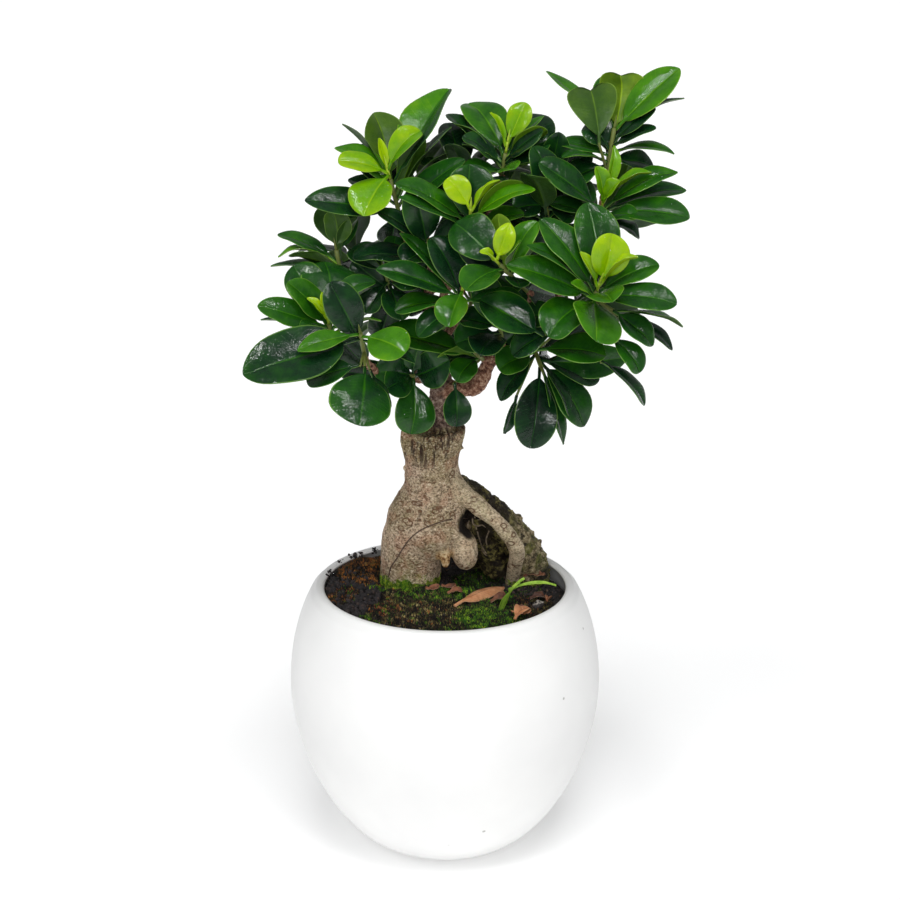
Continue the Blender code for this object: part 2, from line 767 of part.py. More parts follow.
def litter(home):
    """A dry leaf, a small stone and chips of bark, each resting on what is below it."""
    below = [tree_of(home.objects[name]) for name in ("soil", *MOSS)]
    brown = material("dead_bark", (0.22, 0.10, 0.05), 0.9)
    grey = material("stone_grey", (0.10, 0.10, 0.10), 0.7)
    for name, ((x, y), (width, depth, height), turn) in LITTER.items():
        shape = bmesh.new()
        bmesh.ops.create_icosphere(shape, subdivisions=1, radius=0.5)
        spin = Quaternion((0, 0, 1), math.radians(turn))
        middle = Vector((x, y, POT_HEIGHT))
        verts = [
            middle + spin @ Vector((v.co.x * width, v.co.y * depth, v.co.z * height)) for v in shape.verts
        ]
        faces = [tuple(v.index for v in face.verts) for face in shape.faces]
        shape.free()
        made = new_object(name, drop(verts, faces, below), faces, home)
        finish(made, grey if "stone" in name else brown, 30)
    (ax, ay), (bx, by) = DRY_LEAF_ENDS
    along = Vector((bx - ax, by - ay, 0))
    root = Vector((ax, ay, POT_HEIGHT))
    dry = Placed(root, along.normalized(), Vector((0, 0, 1)), along.length, 10.5, 30, 32, 3)
    verts, faces = blade(dry, 0.8)
    made = new_object("dry_leaf", drop(verts, faces, below), faces, home)
    finish(made, material("dry_leaf", (0.38, 0.16, 0.07), 0.7), 60)


def grass(home):
    """A sprout of two blades, which stands in a hole in the soil."""
    x, y = GRASS_ROOT
    foot = Vector((x, y, ground(x, y) + 2))
    right = Placed(foot, Vector((0.9, 0, 0.44)), Vector((-0.44, 0, 0.9)), 29, 3.6, 50, 20, 3)
    upright = Placed(foot, Vector((0.55, 0, 0.83)), Vector((-0.83, 0, 0.55)), 22, 3.2, 25, 20, 3)
    made = grass_stem(home)
    boolean(made, [new_object("blade", *blade(leaf, 0.7), home) for leaf in (right, upright)], "UNION")
    finish(made, material("grass_green", (0.20, 0.42, 0.02), 0.5), 50)


class Placed(NamedTuple):
    """A leaf in space: its root on the stem, its length's direction and its upper side's direction."""

    root: Vector
    along: Vector
    normal: Vector
    length: float
    width: float
    arch: float
    fold: float
    sections: int


def seen(shoot, offset):
    """The place that lies across, up and away from a shoot's bud, as the front view shows it."""
    return Vector(shoot.bud) + ACROSS * offset[0] + UP * offset[1] + AWAY * offset[2]


def placed(shoot, leaf, below, radius):
    """Puts a leaf of the table in space, its root that far below the bud, sunk in a stem of that radius."""
    axis = axis_of(shoot)
    tip = seen(shoot, leaf.tip)
    if leaf.base is None:
        root = Vector(shoot.bud) - axis * below
        outward = tip - root - axis * axis.dot(tip - root)
        root += outward.normalized() * (radius - ROOT_DEPTH)
    else:
        root = seen(shoot, leaf.base)
    along = (tip - root).normalized()
    shown = (-AWAY + along * AWAY.dot(along)).normalized()
    side = along.cross(shown)
    lean = side.z if abs(side.z) > 0.3 else side.x
    turn = math.radians(leaf.face)
    normal = shown * math.cos(turn) + side * math.copysign(math.sin(turn), lean)
    length = (tip - root).length
    sections = 3 if length > LONG_LEAF else 2
    return Placed(root, along, normal, length, leaf.width, leaf.arch, leaf.fold, sections)


def set_on_stem(shoot, leaves, below, length, radius):
    """The leaves of a table in space, spread down a length of the stem from below the bud."""
    axis = axis_of(shoot)
    on_stem = [leaf for leaf in leaves if leaf.base is None]
    order = sorted(on_stem, key=lambda leaf: -(seen(shoot, leaf.tip) - Vector(shoot.bud)).dot(axis))
    spacing = min(LEAF_SPACING, length / max(len(order), 1))
    return [
        placed(shoot, leaf, below + spacing * order.index(leaf) if leaf.base is None else 0, radius)
        for leaf in leaves
    ]


def by_rule(shoot, index, draw):
    """A leaf set round the stem by the golden angle: the lower it sits, the flatter and longer it is."""
    axis = axis_of(shoot)
    count = max(shoot.fill, 1)
    height = (index + 0.5) / count
    outward = axis.orthogonal().normalized()
    outward.rotate(Quaternion(axis, index * GOLDEN_ANGLE + draw.uniform(-0.25, 0.25) + 1.3))
    lift = math.radians(68 - 72 * height + draw.uniform(-8, 8))
    reach = (Vector(shoot.bud) - Vector(shoot.start)).length
    below = (0.15 + 0.8 * height) * reach if shoot.leaves else 0.9 * height * reach
    root = Vector(shoot.bud) - axis * below + outward * (STEM_RADIUS - ROOT_DEPTH)
    along = (outward * math.cos(lift) + axis * math.sin(lift)).normalized()
    normal = (axis - along * axis.dot(along)).normalized()
    length = 26 + 12 * height + draw.uniform(-2, 3)
    return Placed(root, along, normal, length, length * draw.uniform(0.52, 0.6), 30, 0, 2)


def outline(u):
    """Half width of a blade at u of its length, from 0 to 1: wedge-shaped base, blunt tip."""
    return u**0.65 * (1 - u) ** 0.42 / 0.4882


def section(leaf, t, side_share, offset):
    """A point of the blade at t of the leaf's length and side_share of its half width."""
    bend = math.radians(leaf.arch)
    radius = leaf.length / (2 * math.sin(bend / 2))
    angle = (t - 0.5) * bend
    forward = leaf.length / 2 + radius * math.sin(angle)
    height = radius * (math.cos(angle) - math.cos(bend / 2))
    normal = leaf.normal * math.cos(angle) + leaf.along * math.sin(angle)
    side = leaf.along.cross(leaf.normal)
    u = (t - PETIOLE_SHARE) / (1 - PETIOLE_SHARE)
    half = max(PETIOLE_WIDTH / 2, outline(u) * leaf.width / 2) if u > 0 else PETIOLE_WIDTH / 2
    fold = math.radians(leaf.fold)
    return (
        leaf.root
        + leaf.along * forward
        + leaf.normal * height
        + side * (side_share * half * math.cos(fold))
        + normal * (abs(side_share) * half * math.sin(fold) + offset)
    )


def stations_of(leaf):
    blade_shares = (0.28, 0.62, 0.88) if leaf.sections == 3 else (0.36, 0.8)
    return [PETIOLE_SHARE + (1 - PETIOLE_SHARE) * u for u in blade_shares]


def blade(leaf, thickness, start=0.0):
    """A leaf as a thin closed shell, its two faces split into triangles alike."""
    half = thickness / 2
    across = (-1, 0, 1) if leaf.fold else (-1, 1)
    n = len(across)
    verts = []
    rows = []
    for t in stations_of(leaf):
        rows.append([len(verts) + i for i in range(2 * n)])
        verts += [section(leaf, t, share, sign * half) for sign in (1, -1) for share in across]
    ends = []
    for t in (start, 1.0):
        ends.append((len(verts), len(verts) + 1))
        verts += [section(leaf, t, 0, sign * half) for sign in (1, -1)]
    (root, under_root), (tip, under_tip) = ends
    first, last = rows[0], rows[-1]
    faces = [
        (root, under_root, first[n], first[0]),
        (root, first[n - 1], first[-1], under_root),
        (last[0], last[n], under_tip, tip),
        (last[n - 1], tip, under_tip, last[-1]),
    ]
    for i in range(n - 1):
        faces += [(root, first[i], first[i + 1]), (under_root, first[i + n + 1], first[i + n])]
        faces += [(last[i], tip, last[i + 1]), (last[i + n], last[i + n + 1], under_tip)]
    for a, b in zip(rows, rows[1:]):
        for i in range(n - 1):
            faces += [(a[i], b[i], b[i + 1]), (a[i], b[i + 1], a[i + 1])]
            faces += [(a[i + n], b[i + n + 1], b[i + n]), (a[i + n], a[i + n + 1], b[i + n + 1])]
        faces += [(a[0], a[n], b[n], b[0]), (a[n - 1], b[n - 1], b[-1], a[-1])]
    return verts, [face[::-1] for face in faces]


class Obstacle(NamedTuple):
    node: str
    whole: BVHTree
    blade: BVHTree
    low: Vector
    high: Vector


def obstacle(node, leaf, room=0.0):
    """A leaf for the crossing tests, thicker all round by room."""
    verts, faces = blade(leaf, BLADE_THICKNESS + 2 * room)
    outer = blade(leaf, BLADE_THICKNESS, start=0.35)
    low = Vector(min(v[i] for v in verts) for i in range(3))
    high = Vector(max(v[i] for v in verts) for i in range(3))
    return Obstacle(node, BVHTree.FromPolygons(verts, faces), BVHTree.FromPolygons(*outer), low, high)


def meets(leaf, node, obstacles, solids):
    """2 where a leaf meets another node, 1 where it only meets a blade of its own node, or 0."""
    own = obstacle(node, leaf, CLEARANCE)
    found = 0
    for other in obstacles:
        if any(own.low[i] > other.high[i] or own.high[i] < other.low[i] for i in range(3)):
            continue
        if other.node != node and own.whole.overlap(other.whole):
            return 2
        if other.node == node and own.blade.overlap(other.blade):
            found = 1
    if any(own.whole.overlap(tree) for name, tree in solids if name != node):
        return 2
    return found


def moved(leaf, turn, lift, share):
    """The leaf turned about the vertical, lifted, and cut to a share of its size."""
    rotation = Quaternion(Vector((0, 0, 1)), math.radians(turn))
    rotation = rotation @ Quaternion(leaf.along.cross(leaf.normal), math.radians(-lift))
    along, normal = leaf.along.copy(), leaf.normal.copy()
    along.rotate(rotation)
    normal.rotate(rotation)
    return leaf._replace(
        along=along, normal=normal, length=leaf.length * share, width=leaf.width * share
    )


def ways_to_bend():
    """Every (cost, turn, lift, share of the size), the smallest change first. Angles are in degrees."""
    found = [(0, 0, 0, share) for share in SHARES]
    for size in range(4, FARTHEST_BEND + 1, 4):
        for turn, lift in ((0, 1), (0, -1), (1, 0), (-1, 0), (1, 1), (-1, -1), (1, -1), (-1, 1)):
            found += [(size * math.hypot(turn, lift), size * turn, size * lift, share) for share in SHARES]
    return sorted((cost + 100 * (1 - share), turn, lift, share) for cost, turn, lift, share in found)


def fitted(leaf, node, obstacles, solids, reach, meeting_cost):
    """The leaf bent clear of the others by as little as will do, or None."""
    best, best_cost = None, reach
    for cost, turn, lift, share in ways_to_bend():
        if cost >= best_cost:
            break
        tried = moved(leaf, turn, lift, share)
        met = meets(tried, node, obstacles, solids)
        if met < 2 and cost + met * meeting_cost < best_cost:
            best, best_cost = tried, cost + met * meeting_cost
    return best


def tree_of(made):
    verts = [v.co / MM for v in made.data.vertices]
    return BVHTree.FromPolygons(verts, [tuple(p.vertices) for p in made.data.polygons])


def stem_points(shoot, has_tip):
    """The shoot's stem, which ends a gap short of its young tip."""
    bud = Vector(shoot.bud)
    end = bud - axis_of(shoot) * (TIP_STEM + GAP) if has_tip else bud
    start = Vector(shoot.start)
    return [(*start, STEM_RADIUS), (*end, STEM_RADIUS)]


def tip_points(shoot):
    bud = Vector(shoot.bud)
    return [(*(bud - axis_of(shoot) * TIP_STEM), TIP_RADIUS), (*bud, TIP_RADIUS)]


def side_twig(shoot, leaf):
    """The twig to a leaf that has its own base."""
    base = seen(shoot, leaf.base)
    low = Vector(shoot.start).lerp(Vector(shoot.bud), 0.2)
    ahead = (base - low).normalized()
    return [(*low, 0.9), (*(base + ahead), 0.7)]


def stems(shoot, home, extra=0.0):
    """The stem tubes of each node of a shoot."""
    made = {"shoot_" + shoot.name: [tube("stem", stem_points(shoot, bool(shoot.young)), 0, home, extra)]}
    for leaf in shoot.leaves:
        if leaf.base:
            made["shoot_" + shoot.name].append(tube("side_twig", side_twig(shoot, leaf), 0, home, extra))
    if shoot.young:
        made["young_" + shoot.name] = [tube("tip", tip_points(shoot), 0, home, extra)]
    return made


def stem_trees(shoots, home):
    """Each stem grown by the clearance, as (node, tree)."""
    trees = []
    for shoot in shoots:
        for node, tubes in stems(shoot, home, CLEARANCE).items():
            for made in tubes:
                trees.append((node, tree_of(made)))
                bpy.data.objects.remove(made, do_unlink=True)
    return trees


def grow(shoots, solids):
    """Every leaf of every node, bent clear of what stands before it."""
    draw = random.Random(SEED)
    wanted = []
    for shoot in shoots:
        below = TIP_STEM + 1.5 if shoot.young else 0.6
        length = (Vector(shoot.bud) - Vector(shoot.start)).length - below - 1
        young = set_on_stem(shoot, shoot.young, 0.8, TIP_STEM - 1.5, TIP_RADIUS)
        grown = set_on_stem(shoot, shoot.leaves, below, length, STEM_RADIUS)
        wanted += [("young_" + shoot.name, leaf, 50, 10) for leaf in young]
        wanted += [("shoot_" + shoot.name, leaf, 50, 10) for leaf in grown]
    for shoot in shoots:
        rule = [by_rule(shoot, i, draw) for i in range(shoot.fill)]
        wanted += [("shoot_" + shoot.name, leaf, 60, 60) for leaf in rule]
    obstacles = []
    nodes = {}
    for node, leaf, reach, meeting_cost in wanted:
        found = fitted(leaf, node, obstacles, solids, reach, meeting_cost)
        if found:
            obstacles.append(obstacle(node, found))
            nodes.setdefault(node, []).append(found)
    return nodes


def foliage(home, wood_tree):
    """Each shoot, and each young tip, as one body: its stem and the leaves sunk into it."""
    dark = material("leaf_green", (0.02, 0.085, 0.015), 0.35)
    lime = material("leaf_lime", (0.26, 0.48, 0.02), 0.4)
    nodes = grow(SHOOTS, [("wood", wood_tree), *stem_trees(SHOOTS, home)])
    for shoot in SHOOTS:
        for node, (stem, *pieces) in stems(shoot, home).items():
            stem.name = node
            pieces += [new_object("leaf", *blade(leaf, BLADE_THICKNESS), home) for leaf in nodes[node]]
            boolean(stem, pieces, "UNION")
            finish(stem, lime if node.startswith("young_") else dark, 50)


def main():
    clear_scene()
    home = collection("ginseng_ficus")
    pot(home)
    trunk = wood(home)
    soil(home, holes(home))
    moss(home)
    litter(home)
    grass(home)
    foliage(home, tree_of(trunk))


main()
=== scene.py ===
"""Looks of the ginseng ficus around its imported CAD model.

Lengths are millimetres unless a name says otherwise. new_mesh turns them into the scene's metres.
The tables and the rules that place roots, branches and leaves are those of the part's source, except that
about a dozen leaves reach a few millimetres further or less far here and that two have a notched tip.
"""

import json
import math
import random
from typing import NamedTuple

import bmesh
import bpy
import numpy as np
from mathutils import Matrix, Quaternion, Vector, noise
from mathutils.bvhtree import BVHTree

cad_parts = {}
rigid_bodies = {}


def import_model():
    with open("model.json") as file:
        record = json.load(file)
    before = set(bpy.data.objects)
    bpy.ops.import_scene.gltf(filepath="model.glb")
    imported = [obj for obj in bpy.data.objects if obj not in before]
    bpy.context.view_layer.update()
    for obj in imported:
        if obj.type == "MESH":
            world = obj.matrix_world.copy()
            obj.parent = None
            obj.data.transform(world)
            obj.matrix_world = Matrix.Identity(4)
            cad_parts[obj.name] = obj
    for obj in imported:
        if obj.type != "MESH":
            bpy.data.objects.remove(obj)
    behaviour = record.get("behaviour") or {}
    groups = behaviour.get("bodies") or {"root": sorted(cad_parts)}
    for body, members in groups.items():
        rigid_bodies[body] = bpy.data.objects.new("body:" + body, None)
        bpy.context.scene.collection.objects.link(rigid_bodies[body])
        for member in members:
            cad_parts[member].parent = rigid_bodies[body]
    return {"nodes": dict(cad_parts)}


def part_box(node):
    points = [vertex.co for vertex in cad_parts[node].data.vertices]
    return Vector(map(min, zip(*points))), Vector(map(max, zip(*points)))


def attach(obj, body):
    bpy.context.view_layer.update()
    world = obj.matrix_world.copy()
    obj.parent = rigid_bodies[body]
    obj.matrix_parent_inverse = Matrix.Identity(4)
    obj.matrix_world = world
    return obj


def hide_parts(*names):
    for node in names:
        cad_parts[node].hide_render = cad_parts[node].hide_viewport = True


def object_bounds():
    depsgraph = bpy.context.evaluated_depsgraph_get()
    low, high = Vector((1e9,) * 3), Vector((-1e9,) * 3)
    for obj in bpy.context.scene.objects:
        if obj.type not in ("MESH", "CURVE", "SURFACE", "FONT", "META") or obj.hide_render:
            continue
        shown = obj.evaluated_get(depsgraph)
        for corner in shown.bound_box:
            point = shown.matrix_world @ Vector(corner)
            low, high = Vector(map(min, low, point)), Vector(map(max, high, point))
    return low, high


MM = 0.001
GAP = 0.3
# About a full turn in radians
TURN = 6.28

# Pot: an egg cut off flat, 150 mm across its widest part
POT_RADIUS = 75.0
POT_HEIGHT = 131.0
WIDEST_AT = 82.0
FOOT_RADIUS = 31.5
RIM_RADIUS = 62.3
WALL = 4.5
FLOOR = 7.0

# Soil: below the rim, a little higher on the left, mounded against the root
SOIL_LEVEL = 124.6
MOUND = 3.0
MOUND_CENTRE = (-8.0, 10.0)
MOUND_REACH = 22.0

# Foliage, as the part's source places it
BLADE_THICKNESS = 0.7
PETIOLE_WIDTH = 1.7
PETIOLE_SHARE = 0.14
STEM_RADIUS = 1.3
TIP_RADIUS = 0.85
ROOT_DEPTH = 0.5
TIP_STEM = 5.0
CLEARANCE = 0.4
GOLDEN_ANGLE = math.radians(137.5)
FRONT_TILT = math.radians(17.6)
SEED = 11
LEAF_SPACING = 1.5
FARTHEST_BEND = 40
SHARES = (1.0, 0.9, 0.8)
LONG_LEAF = 33.0
# The most that a change to a leaf may cost, and the cost of meeting a blade of its own node: for a leaf
# of the table, and for one set by rule
TABLE_LIMITS = (50, 10)
RULE_LIMITS = (60, 60)

# The camera of the photograph
CAMERA_PLACE = (2.44, -857.9, 469.9)
FOCAL_PIXELS = 1915.9
IMAGE_PIXELS = 900
SENSOR_MM = 36.0

# The front view looks down by FRONT_TILT. Shoots give their leaves as it shows them.
ACROSS = Vector((1, 0, 0))
UP = Vector((0, math.sin(FRONT_TILT), math.cos(FRONT_TILT)))
AWAY = Vector((0, math.cos(FRONT_TILT), -math.sin(FRONT_TILT)))


class Leaf(NamedTuple):
    """One leaf of a shoot.

    tip is across, up and away from the shoot's bud. face is in degrees: 0 shows the upper side to the
    front, 90 is edge-on with the upper side to the sky, 180 shows the underside. A leaf grows from the
    stem, the higher its tip the higher up, unless base gives its place as tip does. tone goes from
    0, near black, to 1, lime, and is a pair where the two halves differ. notch is the depth of a dent
    in the tip. arch is how far the blade bends down along its length, and fold how far its halves
    stand up from the midrib, both in degrees.
    """

    tip: tuple
    width: float
    face: float
    arch: float = 28.0
    fold: float = 12.0
    base: tuple = None
    tone: float = 0.15
    notch: float = 0.0


class Shoot(NamedTuple):
    """A leafy stem from start, where the branch ends, to bud. young are its lime leaves."""

    name: str
    start: tuple
    bud: tuple
    leaves: tuple = ()
    young: tuple = ()
    fill: int = 0


SHOOTS = (
    Shoot(
        "upper_left",
        start=(-20, 6, 306),
        bud=(-25.8, 4, 329.8),
        leaves=(
            Leaf((-37, -15, -4), 17, 33, arch=20, tone=0.15),
            Leaf((28, 38, 12), 26, 35, fold=25, arch=30, tone=(0.56, 0.2)),
            Leaf((-8, 27, 8), 23, 165, arch=20, tone=0.4),
            Leaf((35, 3, -6), 17, 38, arch=25, tone=0.2),
            Leaf((-21, 13, -4), 13, 50, arch=50, tone=0.5),
            Leaf((29, 20, 8), 11, 75, tone=0.25),
            Leaf((8, 21, 16), 14, 150, tone=0.4),
            Leaf((-18, -4, 6), 14, 60, tone=0.15),
            Leaf((-21, 22, 12), 10, 95, tone=0.2),
            Leaf((27, 10, 12), 11, 80, tone=0.2),
            Leaf((16, 15, -3), 12, 140, tone=0.3),
        ),
        young=(
            Leaf((-10, -23, -10), 21, 25, arch=45, tone=0.74),
            Leaf((-22, 2, -6), 13, 45, arch=35, tone=0.84),
            Leaf((15, 17, -5), 14, 25, arch=60, fold=30, tone=(0.86, 0.7)),
            Leaf((-4, 13, -2), 6, 20, fold=45, tone=1),
        ),
        fill=1,
    ),
    Shoot(
        "top_middle",
        start=(26, 15, 325),
        bud=(28.7, 15, 340),
        leaves=(
            Leaf((-16, 27, 10), 20, 20, tone=0.4),
            Leaf((-27, 16, 12), 14, 55, tone=0.15),
            Leaf((-23, 10, 3), 10, 80, tone=0.25),
            Leaf((-20, 3, -4), 13, 50, tone=0.15),
            Leaf((15, 9, -6), 12, 125, tone=0.5),
            Leaf((16, 4, -9), 13, 40, tone=0.1),
            Leaf((17, 13, 10), 12, 60, tone=0.4),
            Leaf((19, 1, -3), 15, 20, tone=0.15),
            Leaf((-21, -2, -2), 12, 80, arch=50, tone=0.25),
            Leaf((-20, -13, -6), 13, 55, tone=0.3),
            Leaf((3, -15, -14), 12, 30, tone=0.5),
            Leaf((22, -8, -5), 11, 45, tone=0.2),
        ),
        young=(
            Leaf((8, 18, -1), 12, 10, arch=15, tone=0.82),
            Leaf((-7.5, 14, 0), 5, 30, fold=50, tone=0.84),
        ),
        fill=1,
    ),
    Shoot(
        "centre",
        start=(11, -8, 301),
        bud=(11.6, -15, 315.3),
        leaves=(
            Leaf((-33, 11, -3), 15, 50, arch=20, tone=0.35),
            Leaf((-2, 20, 9), 21, 15, tone=0.2),
            Leaf((28, 8, -8), 14, 50, tone=0.55),
            Leaf((23, 12, -2), 12, 118, tone=0.5),
            Leaf((-32, 3, -9), 13, 62, tone=0.25),
            Leaf((24, -2, 5), 14, 50, tone=0.4),
        ),
        young=(
            Leaf((-10, 13, -3), 12, 10, arch=15, tone=0.98),
            Leaf((12.5, 13, 0), 8, 60, fold=30, tone=0.9),
        ),
        fill=1,
    ),
    Shoot(
        "top_right",
        start=(73, 9, 322),
        bud=(76.6, 10, 347),
        leaves=(
            Leaf((-11.5, 18.5, -5), 23, 172, arch=26, base=(-7, -8, -3), tone=0.34, notch=2.4),
            Leaf((29, 26, -4), 21, 34, arch=22, tone=0.54),
            Leaf((4, 26, 4), 24, 165, arch=18, tone=0.64, notch=1.8),
            Leaf((1, 28, 20), 21, 15, arch=16, tone=0.3),
            Leaf((-30, 29, 19), 12, 65, arch=20, base=(-2, 0, 6), tone=0.45),
            Leaf((32, 15, 4), 11, 72, arch=35, tone=0.2),
            Leaf((20, 6, -4), 13, 45, tone=0.1),
            Leaf((-12, 4, 4), 16, 20, tone=0.15),
            Leaf((-24, -14, -6), 12, 70, arch=40, tone=0.3),
            Leaf((27, -12, 0), 12, 62, arch=55, tone=0.35),
            Leaf((-26, -7, 8), 13, 50, tone=0.3),
            Leaf((17, 0, -9), 11, 50, tone=0.1),
            Leaf((19, -16, 9), 14, 40, tone=0.15),
            Leaf((-21, -24, 3), 17, 45, tone=0.2),
        ),
        fill=1,
    ),
    Shoot(
        "right",
        start=(69.5, -4, 305),
        bud=(71.5, -5, 319.3),
        leaves=(
            Leaf((37, -12, -10), 18, 38, arch=38, tone=0.3),
            Leaf((-31, 12, -5), 18, 42, tone=0.2),
            Leaf((32, 11, -5), 15, 48, arch=22, tone=0.35),
            Leaf((38, 4, 8), 15, 50, tone=0.2),
            Leaf((17, -18, 3), 13, 50, tone=0.1),
            Leaf((14, -10, -9), 11, 50, tone=0.3),
            Leaf((-24, -3, 6), 14, 50, tone=0.2),
        ),
        young=(
            Leaf((-4, 12, -5), 9, 20, fold=30, tone=0.72),
            Leaf((7, 5, -8), 9, 40, fold=30, tone=0.76),
            Leaf((5, 22, -2), 7, 30, fold=35, tone=0.7),
            Leaf((20, 11, -6), 9, 65, fold=30, tone=0.66),
        ),
        fill=1,
    ),
    Shoot(
        "front_right",
        start=(65.5, -34, 277),
        bud=(67.8, -40, 287),
        leaves=(
            Leaf((-2, -26, -14), 26, 25, arch=25, fold=8, tone=0.46),
            Leaf((-41, 7, -6), 20, 36, arch=18, tone=0.35),
            Leaf((33, -9, -7), 16, 40, arch=40, tone=0.26),
            Leaf((-26, 28, 4), 18, 40, arch=22, tone=0.3),
            Leaf((-5, 36, 10), 21, 20, arch=22, tone=0.25),
            Leaf((-33, 15, -2), 12, 62, tone=0.3),
            Leaf((26, 8, 2), 16, 45, tone=0.35),
            Leaf((-23, -23, -8), 20, 35, tone=0.3),
            Leaf((3, -8, -20), 17, 35, tone=0.42),
            Leaf((-13, -1, -9), 7, 55, tone=0.6),
            Leaf((18, -39, 0), 14, 35, base=(4, -23, 3), tone=0.3),
            Leaf((24, -27, 2), 16, 35, base=(6, -12, 3), tone=0.25),
            Leaf((37, -20, 7), 12, 75, base=(7, -12, 6), tone=0.3),
            Leaf((21, -53, 7), 15, 60, base=(1, -34, 6), tone=0.15),
            Leaf((3, -31, 1), 20, 45, base=(-27, -29, 6), tone=0.3),
            Leaf((-52, -7, 5), 22, 38, base=(-24, -23, 5), arch=15, tone=0.2),
            Leaf((34, -28, 12), 11, 50, base=(8, -14, 8), tone=0.05),
            Leaf((-38, -31, 8), 15, 45, base=(-18, -19, 8), tone=0.12),
        ),
        young=(
            Leaf((5, 21, -3), 18, 12, arch=25, tone=0.9),
            Leaf((15, 12, -7), 9, 60, fold=35, tone=0.95),
            Leaf((-9, 13, -2), 7, 45, fold=35, tone=0.9),
        ),
    ),
    Shoot(
        "front_middle",
        start=(36.8, -22, 279),
        bud=(21.3, -36, 297),
        leaves=(
            Leaf((-20, 19, -5), 23, 18, arch=25, fold=6, tone=0.22),
            Leaf((20.5, 19, 2), 16, 35, tone=0.45),
            Leaf((1.5, 20, 4), 12, 158, tone=0.6),
            Leaf((-12, -15, -10), 17, 38, tone=0.35),
            Leaf((16, 7, -6), 10, 60, tone=0.4),
            Leaf((19, 6, 7), 10, 110, tone=0.3),
            Leaf((12, -12, 2), 12, 40, tone=0.15),
        ),
        young=(
            Leaf((7, 15, -3), 10, 10, arch=15, tone=0.98),
            Leaf((-5, 3, -5), 5, 40, fold=35, tone=0.9),
        ),
        fill=1,
    ),
    Shoot(
        "low_middle",
        start=(7, -19, 271),
        bud=(7.9, -28, 281),
        leaves=(
            Leaf((-38, 9, -4), 15, 45, arch=15, tone=0.22),
            Leaf((-28, 26, 9), 13, 60, tone=0.25),
            Leaf((-30, -9, 4), 15, 60, tone=0.3),
            Leaf((28, -4, 4), 16, 50, tone=0.25),
            Leaf((-20, -20, 2), 13, 35, tone=0.2),
        ),
        young=(Leaf((-6, -17, -9), 16, 22, arch=35, fold=20, tone=(0.56, 0.44)),),
        fill=1,
    ),
    Shoot(
        "left",
        start=(-47, 2, 279),
        bud=(-49.3, 0, 293.2),
        leaves=(
            Leaf((-1, 18, -3), 14, 165, arch=20, tone=0.32),
            Leaf((-27, 8, 4), 12, 55, tone=0.3),
            Leaf((7.5, 20, 6), 11, 30, tone=0.2),
            Leaf((-21, -3, -7), 11, 112, tone=0.25),
            Leaf((9, 15, 0), 9, 125, tone=0.2),
            Leaf((-30, -7.5, 2), 10, 68, tone=0.3),
            Leaf((-27, -1.5, -2), 9, 78, arch=60, tone=0.6),
        ),
    ),
    Shoot(
        "low_left",
        start=(-51, -19, 257),
        bud=(-52.4, -25, 268.9),
        leaves=(
            Leaf((-30, 4, -8), 14, 35, arch=18, tone=0.35),
            Leaf((0, 27, 8), 26, 20, arch=45, fold=-8, tone=0.25),
            Leaf((-20, 13, 0), 15, 38, tone=0.35),
            Leaf((22, 15, -4), 15, 55, arch=110, tone=0.25),
            Leaf((-30, -2, 3), 10, 78, tone=0.2),
            Leaf((-10, -6, -12), 11, 78, tone=0.3),
            Leaf((15, 4, -9), 9, 35, tone=0.35),
            Leaf((24, -1, 2), 9, 80, tone=0.5),
        ),
        young=(
            Leaf((-8, 8, -3), 5, 35, fold=35, tone=0.95),
            Leaf((-2, 10, -2), 6, 20, fold=35, tone=0.95),
        ),
        fill=1,
    ),
    Shoot(
        "front_left",
        start=(-35.5, -30, 251),
        bud=(-37, -40, 264.4),
        leaves=(
            Leaf((-51, -18, -8), 28, 30, arch=15, tone=0.15),
            Leaf((20, -9, -11), 20, 25, arch=20, fold=6, tone=0.52),
            Leaf((-27, -8, -9), 11, 45, arch=18, tone=0.45),
            Leaf((0, -41, -12), 29, 20, base=(2, -15, 1), arch=30, fold=-8, tone=0.24),
            Leaf((-24, -21, 3), 16, 35, base=(0, -14, 2), tone=0.2),
            Leaf((10, -38, 4), 13, 55, base=(4, -16, 5), tone=0.15),
            Leaf((24, -13, 1), 12, 60, tone=0.15),
        ),
        fill=1,
    ),
    Shoot(
        "trunk_left",
        start=(-13.5, 0.5, 233.5),
        bud=(-15, -7, 236),
        leaves=(
            Leaf((0, -27, -5), 21, 15, arch=20, tone=0.25),
            Leaf((3, 13, -5), 15, 20, arch=20, tone=0.25),
            Leaf((-16, 9, 0), 10, 60, tone=0.2),
        ),
    ),
    Shoot(
        "trunk_right",
        start=(17.5, -4, 243),
        bud=(14.5, -11, 247),
        leaves=(
            Leaf((-41, 13, -6), 19, 45, arch=18, tone=0.3),
            Leaf((-9, -33, -4), 14.5, 15, base=(-10, -13, -1), arch=20, tone=0.14),
            Leaf((-9, -12, -6), 14, 35, tone=0.3),
            Leaf((-18, -1, -9), 11, 115, tone=0.4),
        ),
    ),
    Shoot(
        "hanging_right",
        start=(41, -8, 249),
        bud=(43.7, -18, 243),
        leaves=(
            Leaf((-5, -37, -7), 21, 15, arch=20, tone=0.05),
            Leaf((20.5, -27, 3), 19, 32, arch=35, tone=0.2),
            Leaf((14.5, -34, 1), 11, 50, tone=0.2),
            Leaf((14, -22, -4), 10, 60, tone=0.1),
            Leaf((27, -6, 8), 15, 32, tone=0.12),
            Leaf((-20, 0, 0), 16, 30, tone=0.3),
            Leaf((-16, -31, 1), 6, 30, base=(-11, -13, 1), tone=0.12),
            Leaf((-19, -15, 5), 13, 35, tone=0.12),
        ),
    ),
    Shoot(
        "inner_left",
        start=(-24, 3, 272),
        bud=(-27, -1, 283),
        leaves=(
            Leaf((16, -6, -6), 16, 35),
            Leaf((8, -22, -6), 15, 25),
